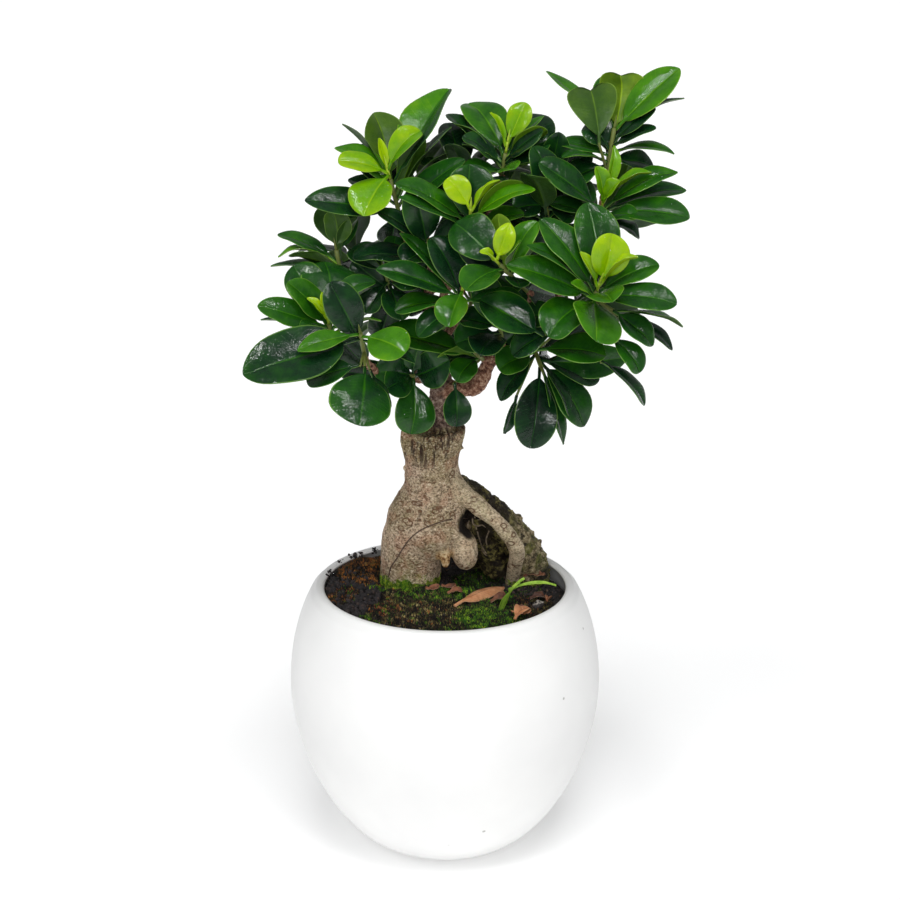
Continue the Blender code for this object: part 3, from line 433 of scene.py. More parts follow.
            Leaf((-8, -19, -1), 15, 40),
            Leaf((-16, 11, 5), 16, 35),
            Leaf((4, 17, 6), 14, 30),
        ),
    ),
    Shoot(
        "inner_middle",
        start=(-7, -2, 287),
        bud=(-8, -5, 298),
        leaves=(
            Leaf((-22, 14, -4), 10, 40, tone=0.1),
            Leaf((14, 4, -6), 16, 30),
            Leaf((-10, -10, -8), 16, 30),
        ),
        fill=4,
    ),
    Shoot(
        "inner_right",
        start=(47, 3, 302),
        bud=(46, 1, 314),
        leaves=(Leaf((-15, -3, -5), 16, 35), Leaf((12, -4, -5), 16, 35)),
        fill=5,
    ),
    Shoot(
        "inner_low",
        start=(26, -13, 254),
        bud=(25, -18, 262),
        leaves=(Leaf((25, 8, -2), 17, 30), Leaf((-18, 4, 0), 15, 40), Leaf((-20, -8, -4), 17, 30, tone=0.15)),
        fill=3,
    ),
    Shoot("inner_upper", start=(10, 19, 312), bud=(9, 20, 324), fill=6),
    Shoot("back_left", start=(-40, 39, 277), bud=(-45, 43, 285), fill=7),
    Shoot("back_upper_left", start=(-11, 46, 310), bud=(-12, 51, 320), fill=7),
    Shoot("back_top", start=(6, 29, 326), bud=(4, 32, 338), fill=4),
    Shoot("back_middle", start=(28, 48, 299), bud=(31, 54, 309), fill=7),
    Shoot("back_upper_right", start=(47, 17, 322), bud=(46, 20, 333), fill=4),
    Shoot("back_right", start=(71, 39, 293), bud=(76, 45, 301), fill=7),
    Shoot("back_low_right", start=(58, 35, 256), bud=(64, 42, 260), fill=7),
    Shoot("back_low_left", start=(-26, 37, 254), bud=(-32, 43, 259), fill=7),
    Shoot("back_low_middle", start=(12, 39, 257), bud=(13, 46, 263), fill=7),
)

# Roots: x, y, z and radius along each, from the body of the root down into the soil
CAUDEX = (
    ((-5, 8, 205, 14.2), (-6, 8, 196, 13.3), (-6, 8, 186, 12.8), (-5.5, 8, 176, 14.6),
     (-5, 8.5, 166, 17), (-6, 9.5, 156, 18.4), (-6, 10, 149.5, 16.8), (-5, 11, 144, 12)),
    ((-9, 8, 181, 8), (-12.5, 8, 166, 13), (-14.5, 9, 156, 14.4), (-16, 10, 146, 14.8),
     (-16.7, 10.5, 136, 14.6), (-17.2, 11, 126, 14), (-18, 12, 108, 8)),
)
ROOTS = (
    ((3, 8, 166, 8), (7.5, 3, 155.5, 7.8), (9, 0.5, 149, 7.1), (9.5, 0, 143, 6), (9.3, 0.5, 139, 3)),
    ((-2, 3, 156, 4), (-0.5, -4, 150, 3), (0, -5, 145, 2.4), (0.5, -5, 141, 1.5)),
    ((2, 5, 181, 5.5), (14, -3, 172.3, 4.3), (22.5, -4.5, 165.5, 3.9), (29.5, -4, 157.6, 3.7),
     (34.2, 0, 148, 3.7), (34, 8, 137.6, 3.4), (32.6, 16, 125.7, 3.1), (31.5, 19, 112, 2)),
    ((4, 10, 174, 9), (14, 14, 167.5, 8), (26.5, 18, 155.5, 8), (37.5, 20, 142, 8.2),
     (43, 23, 127, 8.4), (45, 25, 113, 5.5)),
    ((6, 15, 164, 8), (17, 24, 149, 8), (24, 28, 135, 8), (27, 30, 113, 5)),
    ((-8, 14, 168, 9), (-15, 28, 150, 8.5), (-22, 37, 132, 7.5), (-25, 41, 113, 5)),
    ((2, 15, 166, 8), (10, 29, 149, 7.5), (17, 38, 131, 6.5), (20, 42, 113, 4.5)),
)

# Branches above the graft, each from a place on another one. The last two points of a twig come from
# the shoot that it carries.
TRUNK = (
    ((-1, 7, 201, 6.4), (-2, 6.5, 210, 5.4), (-3.2, 6, 220, 4.2), (-1.5, 6, 230, 4.8), (-3, 6.5, 240, 3),
     (-4.5, 7, 250, 2.6), (-7, 8, 266, 2.3), (-12, 8, 284, 2)),
    ((-2.5, 6, 225, 4), (6, 4, 226.5, 4.0), (15, 3, 228.5, 3.9), (19.5, 2, 238, 3.9), (27, 2, 247, 3.7),
     (37, 2, 256, 3.6), (48, 0, 267, 2.9), (59, -2, 285, 2.3)),
    ((-2, 6, 230, 2.6), (-13, 4, 231.5, 2), (-23, 0, 232.5, 2), (-36, -5, 241, 1.8), (-44, -8, 248, 1.7)),
)
TWIG_RADIUS = 1.45
TWIGS = {
    "upper_left": ((-12, 8, 284), (-17, 7, 296)),
    "top_middle": ((-8, 8, 270), (8, 11, 286), (20, 14, 306)),
    "centre": ((-6, 8, 262), (3, 4, 277), (9, -3, 290)),
    "top_right": ((59, -2, 285), (68, 6, 300)),
    "right": ((59, -2, 285), (66, -3, 295)),
    "front_right": ((46, 0, 265), (56, -17, 268)),
    "front_middle": ((35, 2, 254), (38, -10, 267)),
    "low_middle": ((-4, 7, 247), (3, -6, 258)),
    "left": ((-36, -5, 241), (-43, 1, 258)),
    "low_left": ((-44, -8, 248), (-48, -12, 251)),
    "front_left": ((-25, -1, 234), (-31, -16, 240)),
    "trunk_left": ((-12, 4, 231.5), (-13, 3, 232.5)),
    "trunk_right": ((20, 2, 239), (18.5, -1, 241)),
    "hanging_right": ((33, 2, 252), (37, -3, 251)),
    "inner_left": ((-7, 8, 265), (-16, 6, 268)),
    "inner_middle": ((-8, 8, 270), (-7, 2, 278)),
    "inner_right": ((51, -1, 271), (49, 2, 288)),
    "inner_low": ((24, 2, 244), (26, -5, 248)),
    "inner_upper": ((3, 10, 281), (8, 16, 298)),
    "back_left": ((-7, 8, 266), (-24, 22, 274)),
    "back_upper_left": ((-9, 8, 273), (-9, 26, 293)),
    "back_top": ((1, 10, 279), (5, 20, 302)),
    "back_middle": ((-5, 7, 254), (12, 24, 275)),
    "back_upper_right": ((54, -1, 277), (51, 9, 300)),
    "back_right": ((50, 0, 270), (60, 20, 281)),
    "back_low_right": ((36, 2, 255), (46, 18, 253)),
    "back_low_left": ((-12, 4, 231.5), (-18, 22, 243)),
    "back_low_middle": ((20, 2, 239), (15, 20, 247)),
}

# Moss cushions: place, half the width along x and y, height over the soil
MOSS = {
    "moss_green": (((18, -31), (19, 13), 2.6), ((15, -8), (20, 17), 2.6), ((-12, -9), (20, 10), 3.4)),
    "moss_brown": (((-22, -27), (20, 17), 3.2), ((-42, -4), (11, 22), 3.4)),
}

# Bits that lie on the soil: place, size and turn
LITTER = {
    "dark_stone": ((43.6, -17.6), (6.5, 5, 4), 20),
    "bark_chip_front": ((35.8, -22.5), (7, 5.5, 2.2), 35),
    "bark_chip_right": ((49.4, -4.6), (5, 3.6, 1.8), 70),
    "bark_chip_left": ((-46, 28), (7, 4, 1.8), 110),
    "bark_chip_middle": ((4.5, -9), (6.5, 4, 1.6), 15),
}

GRASS_ROOT = (25.5, -20.5)
GRASS_FORK = (31.4, -20.5, 135.6)
# Tip, width and arch of each blade of grass
GRASS_TIPS = (
    ((52.4, -20.5, 138.0), 2.3, 40),
    ((37.1, -20.5, 141.5), 1.4, 20),
    ((34.5, -20.5, 139.5), 1.1, 20),
)
# Shift to the side and radius of each strand of its stalk
GRASS_STRANDS = ((-1.4, 0.28), (-0.5, 0.36), (0.3, 0.4), (1.2, 0.24))
# Tip and foot of the dry leaf
DRY_LEAF_ENDS = ((29, 3), (4.5, -24))
# Its width, arch and fold
DRY_LEAF_SHAPE = (8.6, 24, -30)


def ground(x, y):
    """Height of the soil."""
    from_mound = math.hypot(x - MOUND_CENTRE[0], y - MOUND_CENTRE[1]) / MOUND_REACH
    mound = MOUND * math.exp(-from_mound * from_mound / 2)
    crumbs = 0.5 * math.sin(0.31 * x + 1) * math.sin(0.27 * y) + 0.3 * math.sin(0.55 * x - 0.4 * y)
    return SOIL_LEVEL - 0.035 * x - 0.015 * y + mound + crumbs


def evaluated_mesh(source):
    bpy.context.view_layer.update()
    graph = bpy.context.evaluated_depsgraph_get()
    return bpy.data.meshes.new_from_object(source.evaluated_get(graph))


def bezier(a, b, c, d, steps):
    """Points of a cubic curve from a to d, without a."""
    found = []
    for i in range(1, steps + 1):
        t = i / steps
        s = 1 - t
        found.append(
            tuple(
                s**3 * p + 3 * s * s * t * q + 3 * s * t * t * r + t**3 * u
                for p, q, r, u in zip(a, b, c, d)
            )
        )
    return found


def outer_profile(inset, steps):
    """The egg's wall from the rim down to the foot, moved in by inset."""
    rim, widest, foot = RIM_RADIUS - inset, POT_RADIUS - inset, FOOT_RADIUS - inset * 0.6
    upper = bezier(
        (rim, POT_HEIGHT), (rim + 2.5, POT_HEIGHT - 3), (widest, WIDEST_AT + 28), (widest, WIDEST_AT), steps
    )
    lower = bezier((widest, WIDEST_AT), (widest, WIDEST_AT - 37), (foot + 19, 4), (foot, 0), steps)
    return upper + lower


def tube(name, points, resolution, home, extra=0.0):
    """A tapering tube through points of x, y, z and radius."""
    curve = bpy.data.curves.new(name, "CURVE")
    curve.dimensions = "3D"
    curve.bevel_depth = MM
    curve.bevel_resolution = resolution
    curve.use_fill_caps = True
    spline = curve.splines.new("POLY")
    spline.points.add(len(points) - 1)
    for point, (x, y, z, radius) in zip(spline.points, points):
        point.co = (x * MM, y * MM, z * MM, 1)
        point.radius = radius + extra
    guide = bpy.data.objects.new(name + "_guide", curve)
    home.objects.link(guide)
    mesh = evaluated_mesh(guide)
    bpy.data.objects.remove(guide, do_unlink=True)
    shape = bmesh.new()
    shape.from_mesh(mesh)
    bmesh.ops.remove_doubles(shape, verts=shape.verts, dist=0.00001)
    shape.to_mesh(mesh)
    shape.free()
    made = bpy.data.objects.new(name, mesh)
    home.objects.link(made)
    return made


def axis_of(shoot):
    return (Vector(shoot.bud) - Vector(shoot.start)).normalized()


def twig_points(shoot):
    """The branch that carries a shoot. It ends square to the shoot's stem, a gap short of it."""
    axis = axis_of(shoot)
    end = Vector(shoot.start) - axis * GAP
    rows = [(*point, TWIG_RADIUS + 0.3) for point in TWIGS[shoot.name]]
    rows.append((*(end - axis * 3), TWIG_RADIUS))
    return [*rows, (*end, TWIG_RADIUS)]


def wood_parts():
    """Every root and branch as (points, bevel resolution)."""
    parts = [(points, 4) for points in CAUDEX]
    parts += [(points, 2) for points in ROOTS]
    parts += [(points, 1) for points in TRUNK]
    parts += [(twig_points(shoot), 0) for shoot in SHOOTS]
    return parts


class Placed(NamedTuple):
    """A leaf in space: its root on the stem, its length's direction and its upper side's direction."""

    root: Vector
    along: Vector
    normal: Vector
    length: float
    width: float
    arch: float
    fold: float
    sections: int


def seen(shoot, offset):
    """The place that lies across, up and away from a shoot's bud, as the front view shows it."""
    return Vector(shoot.bud) + ACROSS * offset[0] + UP * offset[1] + AWAY * offset[2]


def placed(shoot, leaf, below, radius):
    """Puts a leaf of the table in space, its root that far below the bud, sunk in a stem of that radius."""
    axis = axis_of(shoot)
    tip = seen(shoot, leaf.tip)
    if leaf.base is None:
        root = Vector(shoot.bud) - axis * below
        outward = tip - root - axis * axis.dot(tip - root)
        root += outward.normalized() * (radius - ROOT_DEPTH)
    else:
        root = seen(shoot, leaf.base)
    along = (tip - root).normalized()
    shown = (-AWAY + along * AWAY.dot(along)).normalized()
    side = along.cross(shown)
    lean = side.z if abs(side.z) > 0.3 else side.x
    turn = math.radians(leaf.face)
    normal = shown * math.cos(turn) + side * math.copysign(math.sin(turn), lean)
    length = (tip - root).length
    sections = 3 if length > LONG_LEAF else 2
    return Placed(root, along, normal, length, leaf.width, leaf.arch, leaf.fold, sections)


def set_on_stem(shoot, leaves, below, length, radius):
    """The leaves of a table in space, spread down a length of the stem from below the bud."""
    axis = axis_of(shoot)
    on_stem = [leaf for leaf in leaves if leaf.base is None]
    order = sorted(on_stem, key=lambda leaf: -(seen(shoot, leaf.tip) - Vector(shoot.bud)).dot(axis))
    spacing = min(LEAF_SPACING, length / max(len(order), 1))
    return [
        placed(shoot, leaf, below + spacing * order.index(leaf) if leaf.base is None else 0, radius)
        for leaf in leaves
    ]


def by_rule(shoot, index, draw):
    """A leaf set round the stem by the golden angle: the lower it sits, the flatter and longer it is."""
    axis = axis_of(shoot)
    count = max(shoot.fill, 1)
    height = (index + 0.5) / count
    outward = axis.orthogonal().normalized()
    outward.rotate(Quaternion(axis, index * GOLDEN_ANGLE + draw.uniform(-0.25, 0.25) + 1.3))
    lift = math.radians(68 - 72 * height + draw.uniform(-8, 8))
    reach = (Vector(shoot.bud) - Vector(shoot.start)).length
    below = (0.15 + 0.8 * height) * reach if shoot.leaves else 0.9 * height * reach
    root = Vector(shoot.bud) - axis * below + outward * (STEM_RADIUS - ROOT_DEPTH)
    along = (outward * math.cos(lift) + axis * math.sin(lift)).normalized()
    normal = (axis - along * axis.dot(along)).normalized()
    length = 26 + 12 * height + draw.uniform(-2, 3)
    return Placed(root, along, normal, length, length * draw.uniform(0.52, 0.6), 30, 0, 2)


def outline(u):
    """Half width of a blade at u of its length, from 0 to 1: wedge-shaped base, blunt tip."""
    return u**0.65 * (1 - u) ** 0.42 / 0.4882


def section(leaf, t, side_share, offset):
    """A point of the blade at t of the leaf's length and side_share of its half width."""
    bend = math.radians(leaf.arch)
    radius = leaf.length / (2 * math.sin(bend / 2))
    angle = (t - 0.5) * bend
    forward = leaf.length / 2 + radius * math.sin(angle)
    height = radius * (math.cos(angle) - math.cos(bend / 2))
    normal = leaf.normal * math.cos(angle) + leaf.along * math.sin(angle)
    side = leaf.along.cross(leaf.normal)
    u = (t - PETIOLE_SHARE) / (1 - PETIOLE_SHARE)
    half = max(PETIOLE_WIDTH / 2, outline(u) * leaf.width / 2) if u > 0 else PETIOLE_WIDTH / 2
    fold = math.radians(leaf.fold)
    return (
        leaf.root
        + leaf.along * forward
        + leaf.normal * height
        + side * (side_share * half * math.cos(fold))
        + normal * (abs(side_share) * half * math.sin(fold) + offset)
    )


def stations_of(leaf):
    blade_shares = (0.28, 0.62, 0.88) if leaf.sections == 3 else (0.36, 0.8)
    return [PETIOLE_SHARE + (1 - PETIOLE_SHARE) * u for u in blade_shares]


def blade(leaf, thickness, start=0.0):
    """A leaf as a thin closed shell, its two faces split into triangles alike."""
    half = thickness / 2
    across = (-1, 0, 1) if leaf.fold else (-1, 1)
    n = len(across)
    verts = []
    rows = []
    for t in stations_of(leaf):
        rows.append([len(verts) + i for i in range(2 * n)])
        verts += [section(leaf, t, share, sign * half) for sign in (1, -1) for share in across]
    ends = []
    for t in (start, 1.0):
        ends.append((len(verts), len(verts) + 1))
        verts += [section(leaf, t, 0, sign * half) for sign in (1, -1)]
    (root, under_root), (tip, under_tip) = ends
    first, last = rows[0], rows[-1]
    faces = [
        (root, under_root, first[n], first[0]),
        (root, first[n - 1], first[-1], under_root),
        (last[0], last[n], under_tip, tip),
        (last[n - 1], tip, under_tip, last[-1]),
    ]
    for i in range(n - 1):
        faces += [(root, first[i], first[i + 1]), (under_root, first[i + n + 1], first[i + n])]
        faces += [(last[i], tip, last[i + 1]), (last[i + n], last[i + n + 1], under_tip)]
    for a, b in zip(rows, rows[1:]):
        for i in range(n - 1):
            faces += [(a[i], b[i], b[i + 1]), (a[i], b[i + 1], a[i + 1])]
            faces += [(a[i + n], b[i + n + 1], b[i + n]), (a[i + n], a[i + n + 1], b[i + n + 1])]
        faces += [(a[0], a[n], b[n], b[0]), (a[n - 1], b[n - 1], b[-1], a[-1])]
    return verts, [face[::-1] for face in faces]


class Obstacle(NamedTuple):
    node: str
    whole: BVHTree
    blade: BVHTree
    low: Vector
    high: Vector


def obstacle(node, leaf, room=0.0):
    """A leaf for the crossing tests, thicker all round by room."""
    verts, faces = blade(leaf, BLADE_THICKNESS + 2 * room)
    outer = blade(leaf, BLADE_THICKNESS, start=0.35)
    low = Vector(min(v[i] for v in verts) for i in range(3))
    high = Vector(max(v[i] for v in verts) for i in range(3))
    return Obstacle(node, BVHTree.FromPolygons(verts, faces), BVHTree.FromPolygons(*outer), low, high)


def meets(leaf, node, obstacles, solids):
    """2 where a leaf meets another node, 1 where it only meets a blade of its own node, or 0."""
    own = obstacle(node, leaf, CLEARANCE)
    found = 0
    for other in obstacles:
        if any(own.low[i] > other.high[i] or own.high[i] < other.low[i] for i in range(3)):
            continue
        if other.node != node and own.whole.overlap(other.whole):
            return 2
        if other.node == node and own.blade.overlap(other.blade):
            found = 1
    if any(own.whole.overlap(tree) for name, tree in solids if name != node):
        return 2
    return found


def moved(leaf, turn, lift, share):
    """The leaf turned about the vertical, lifted, and cut to a share of its size."""
    rotation = Quaternion(Vector((0, 0, 1)), math.radians(turn))
    rotation = rotation @ Quaternion(leaf.along.cross(leaf.normal), math.radians(-lift))
    along, normal = leaf.along.copy(), leaf.normal.copy()
    along.rotate(rotation)
    normal.rotate(rotation)
    return leaf._replace(
        along=along, normal=normal, length=leaf.length * share, width=leaf.width * share
    )


def ways_to_bend():
    """Every (cost, turn, lift, share of the size), the smallest change first. Angles are in degrees."""
    found = [(0, 0, 0, share) for share in SHARES]
    for size in range(4, FARTHEST_BEND + 1, 4):
        for turn, lift in ((0, 1), (0, -1), (1, 0), (-1, 0), (1, 1), (-1, -1), (1, -1), (-1, 1)):
            found += [(size * math.hypot(turn, lift), size * turn, size * lift, share) for share in SHARES]
    return sorted((cost + 100 * (1 - share), turn, lift, share) for cost, turn, lift, share in found)


def fitted(leaf, node, obstacles, solids, reach, meeting_cost):
    """The leaf bent clear of the others by as little as will do, or None."""
    best, best_cost = None, reach
    for cost, turn, lift, share in ways_to_bend():
        if cost >= best_cost:
            break
        tried = moved(leaf, turn, lift, share)
        met = meets(tried, node, obstacles, solids)
        if met < 2 and cost + met * meeting_cost < best_cost:
            best, best_cost = tried, cost + met * meeting_cost
    return best


def tree_of(made):
    verts = [v.co / MM for v in made.data.vertices]
    return BVHTree.FromPolygons(verts, [tuple(p.vertices) for p in made.data.polygons])


def stem_points(shoot, has_tip):
    """The shoot's stem, which ends a gap short of its young tip."""
    bud = Vector(shoot.bud)
    end = bud - axis_of(shoot) * (TIP_STEM + GAP) if has_tip else bud
    start = Vector(shoot.start)
    return [(*start, STEM_RADIUS), (*end, STEM_RADIUS)]


def tip_points(shoot):
    bud = Vector(shoot.bud)
    return [(*(bud - axis_of(shoot) * TIP_STEM), TIP_RADIUS), (*bud, TIP_RADIUS)]


def side_twig(shoot, leaf):
    """The twig to a leaf that has its own base."""
    base = seen(shoot, leaf.base)
    low = Vector(shoot.start).lerp(Vector(shoot.bud), 0.2)
    ahead = (base - low).normalized()
    return [(*low, 0.9), (*(base + ahead), 0.7)]


def stems(shoot, home, extra=0.0):
    """The stem tubes of each node of a shoot."""
    made = {"shoot_" + shoot.name: [tube("stem", stem_points(shoot, bool(shoot.young)), 0, home, extra)]}
    for leaf in shoot.leaves:
        if leaf.base:
            made["shoot_" + shoot.name].append(tube("side_twig", side_twig(shoot, leaf), 0, home, extra))
    if shoot.young:
        made["young_" + shoot.name] = [tube("tip", tip_points(shoot), 0, home, extra)]
    return made


def stem_trees(shoots, home):
    """Each stem grown by the clearance, as (node, tree)."""
    trees = []
    for shoot in shoots:
        for node, tubes in stems(shoot, home, CLEARANCE).items():
            for made in tubes:
                trees.append((node, tree_of(made)))
                bpy.data.objects.remove(made, do_unlink=True)
    return trees


# Meshes


class Build:
    """Points, faces and named values of one piece while it is put together."""

    def __init__(self):
        self.verts = []
        self.faces = []
        self.slots = []
        self.place = []
        self.tone = []

    def add(self, verts, faces, slot=0, place=(0, 0, 1), tone=(0, 0, 0)):
        """Adds a shape. place and tone are one triple for all its points, or one for each."""
        start = len(self.verts)
        self.verts += verts
        self.faces += [tuple(start + i for i in face) for face in faces]
        self.slots += [slot] * len(faces)
        self.place += place if isinstance(place, list) else [place] * len(verts)
        self.tone += tone if isinstance(tone, list) else [tone] * len(verts)

    def add_tube(self, points, steps, sides, slot=0, place=(0, 0, 1), tone=(0, 0, 0)):
        """Adds a closed tube on a smooth curve through points of x, y, z and radius."""
        verts, faces = ring_tube(smooth_path(points, steps), sides)
        self.add(verts, faces, slot, place, tone)


def set_values(mesh, name, triples):
    """Gives every point of a mesh its three values of a named attribute."""
    named = mesh.attributes.get(name) or mesh.attributes.new(name, "FLOAT_VECTOR", "POINT")
    named.data.foreach_set("vector", np.array(triples, float).ravel())


def new_mesh(name, build, looks, home):
    """A smooth shaded mesh object from a Build, all its faces turned outwards."""
    mesh = bpy.data.meshes.new(name)
    mesh.from_pydata([Vector(v) * MM for v in build.verts], [], build.faces)
    for look in looks:
        mesh.materials.append(look)
    mesh.polygons.foreach_set("material_index", build.slots)
    set_values(mesh, "place", build.place)
    set_values(mesh, "tone", build.tone)
    shape = bmesh.new()
    shape.from_mesh(mesh)
    bmesh.ops.recalc_face_normals(shape, faces=shape.faces)
    shape.to_mesh(mesh)
    shape.free()
    mesh.shade_smooth()
    made = bpy.data.objects.new(name, mesh)
    home.objects.link(made)
    return made


def kept_in_box(made):
    """Moves what stands out of the CAD model's box back to its face."""
    for vert in made.data.vertices:
        for i in range(3):
            vert.co[i] = min(max(vert.co[i], cad_low[i] + BOX_MARGIN), cad_high[i] - BOX_MARGIN)


def smooth_path(points, steps):
    """Points of x, y, z and radius on a smooth curve through the given ones."""
    rows = np.array(points, float)
    ends = np.vstack([2 * rows[0] - rows[1], rows, 2 * rows[-1] - rows[-2]])
    found = []
    for a, b, c, d in zip(ends, ends[1:], ends[2:], ends[3:]):
        for i in range(steps):
            t = i / steps
            square = 2 * a - 5 * b + 4 * c - d
            cube = 3 * b - a - 3 * c + d
            found.append(0.5 * (2 * b + (c - a) * t + square * t * t + cube * t**3))
    found.append(rows[-1])
    return [(x, y, z, max(r, 0.05)) for x, y, z, r in found]


def ring_faces(rings, sides, start=0):
    """Faces between each of some rings of points and the next."""
    faces = []
    for i in range(rings - 1):
        for k in range(sides):
            a, b = start + i * sides + k, start + i * sides + (k + 1) % sides
            faces.append((a, b, b + sides, a + sides))
    return faces


def ring_tube(points, sides):
    """(verts, faces) of a closed tube through points of x, y, z and radius."""
    centres = [Vector(p[:3]) for p in points]
    verts = []
    guide = None
    for i, (*_, radius) in enumerate(points):
        along = (centres[min(i + 1, len(centres) - 1)] - centres[max(i - 1, 0)]).normalized()
        guide = along.orthogonal() if guide is None else guide - along * along.dot(guide)
        guide.normalize()
        across = along.cross(guide)
        for k in range(sides):
            angle = 2 * math.pi * k / sides
            verts.append(centres[i] + (guide * math.cos(angle) + across * math.sin(angle)) * radius)
    faces = ring_faces(len(points), sides)
    faces.append(tuple(range(sides))[::-1])
    faces.append(tuple(range(len(verts) - sides, len(verts))))
    return verts, faces


def soft_step(low, high, x):
    """0 at low and 1 at high, also where high is the lesser."""
    t = min(max((x - low) / (high - low), 0.0), 1.0)
    return t * t * (3 - 2 * t)


def view_ray(px, py):
    """The direction from the camera through a pixel of the photograph."""
    half = IMAGE_PIXELS / 2
    return (AWAY + ACROSS * ((px - half) / FOCAL_PIXELS) + UP * ((half - py) / FOCAL_PIXELS)).normalized()


# Leaves

LEAF_ROWS = 20
LEAF_COLUMNS = (-1, -0.94, -0.7, -0.46, -0.24, -0.08, 0, 0.08, 0.24, 0.46, 0.7, 0.94, 1)
PETIOLE_RADIUS = 0.75
BLADE_HALF = 0.22
# Height and reach of the midrib under the blade, and of the furrow over it
RIB_UNDER = (0.38, 0.55)
RIB_ABOVE = (-0.2, 0.4)
# How pointed the two ends of a blade are: the higher, the more
BASE_TAPER = (0.62, 0.86)
BLUNT_TIP = 0.5
SLENDER_TIP = 0.2
TIP_CHANCE = (-0.08, 0.12)
NOTCHED_BASE = 0.95
NOTCHED_TIP = 0.26
# What chance gives each leaf: fold, small dents, bulge of the halves, waves of the margin and how many,
# sway as a share of the length, twist, unlike halves in width and in fold, and how far the tip curls down
FOLD_DEGREES = (4, 14)
PUCKER = (0.05, 0.16)
BULGE = (0.12, 0.4)
WAVE = (0.2, 0.9)
WAVE_COUNT = (0.9, 2.1)
SWAY = 0.045
TWIST_DEGREES = 16
UNEVEN = 0.07
FOLD_GAP_DEGREES = 7
CURL = (-0.6, 2.2)
# Phase by which the waves of one margin lag behind those of the other
OTHER_MARGIN = 2.2
# Noise is read up to this far off, so that no two leaves or lumps are alike
ELSEWHERE = 99
# The stems' radius as a share of that in the part
SLIM = 0.8
# How far inside the CAD model's box every leaf stays, in metres
BOX_MARGIN = 0.00002


def leaf_rows():
    """Places along a leaf: a few on the petiole, then closer together at both ends of the blade."""
    petiole = [PETIOLE_SHARE * x for x in (0.0, 0.35, 0.7)]
    blade_rows = [0.5 - 0.5 * math.cos(math.pi * i / LEAF_ROWS) for i in range(1, LEAF_ROWS)]
    return petiole + [PETIOLE_SHARE + (1 - PETIOLE_SHARE) * u for u in [0.002, *blade_rows]]


def fine_outline(u, base_taper, tip_taper):
    """Half width at u of the blade of a fine leaf, its two ends more or less pointed."""
    widest = base_taper / (base_taper + tip_taper)
    return (u / widest) ** base_taper * ((1 - u) / (1 - widest)) ** tip_taper


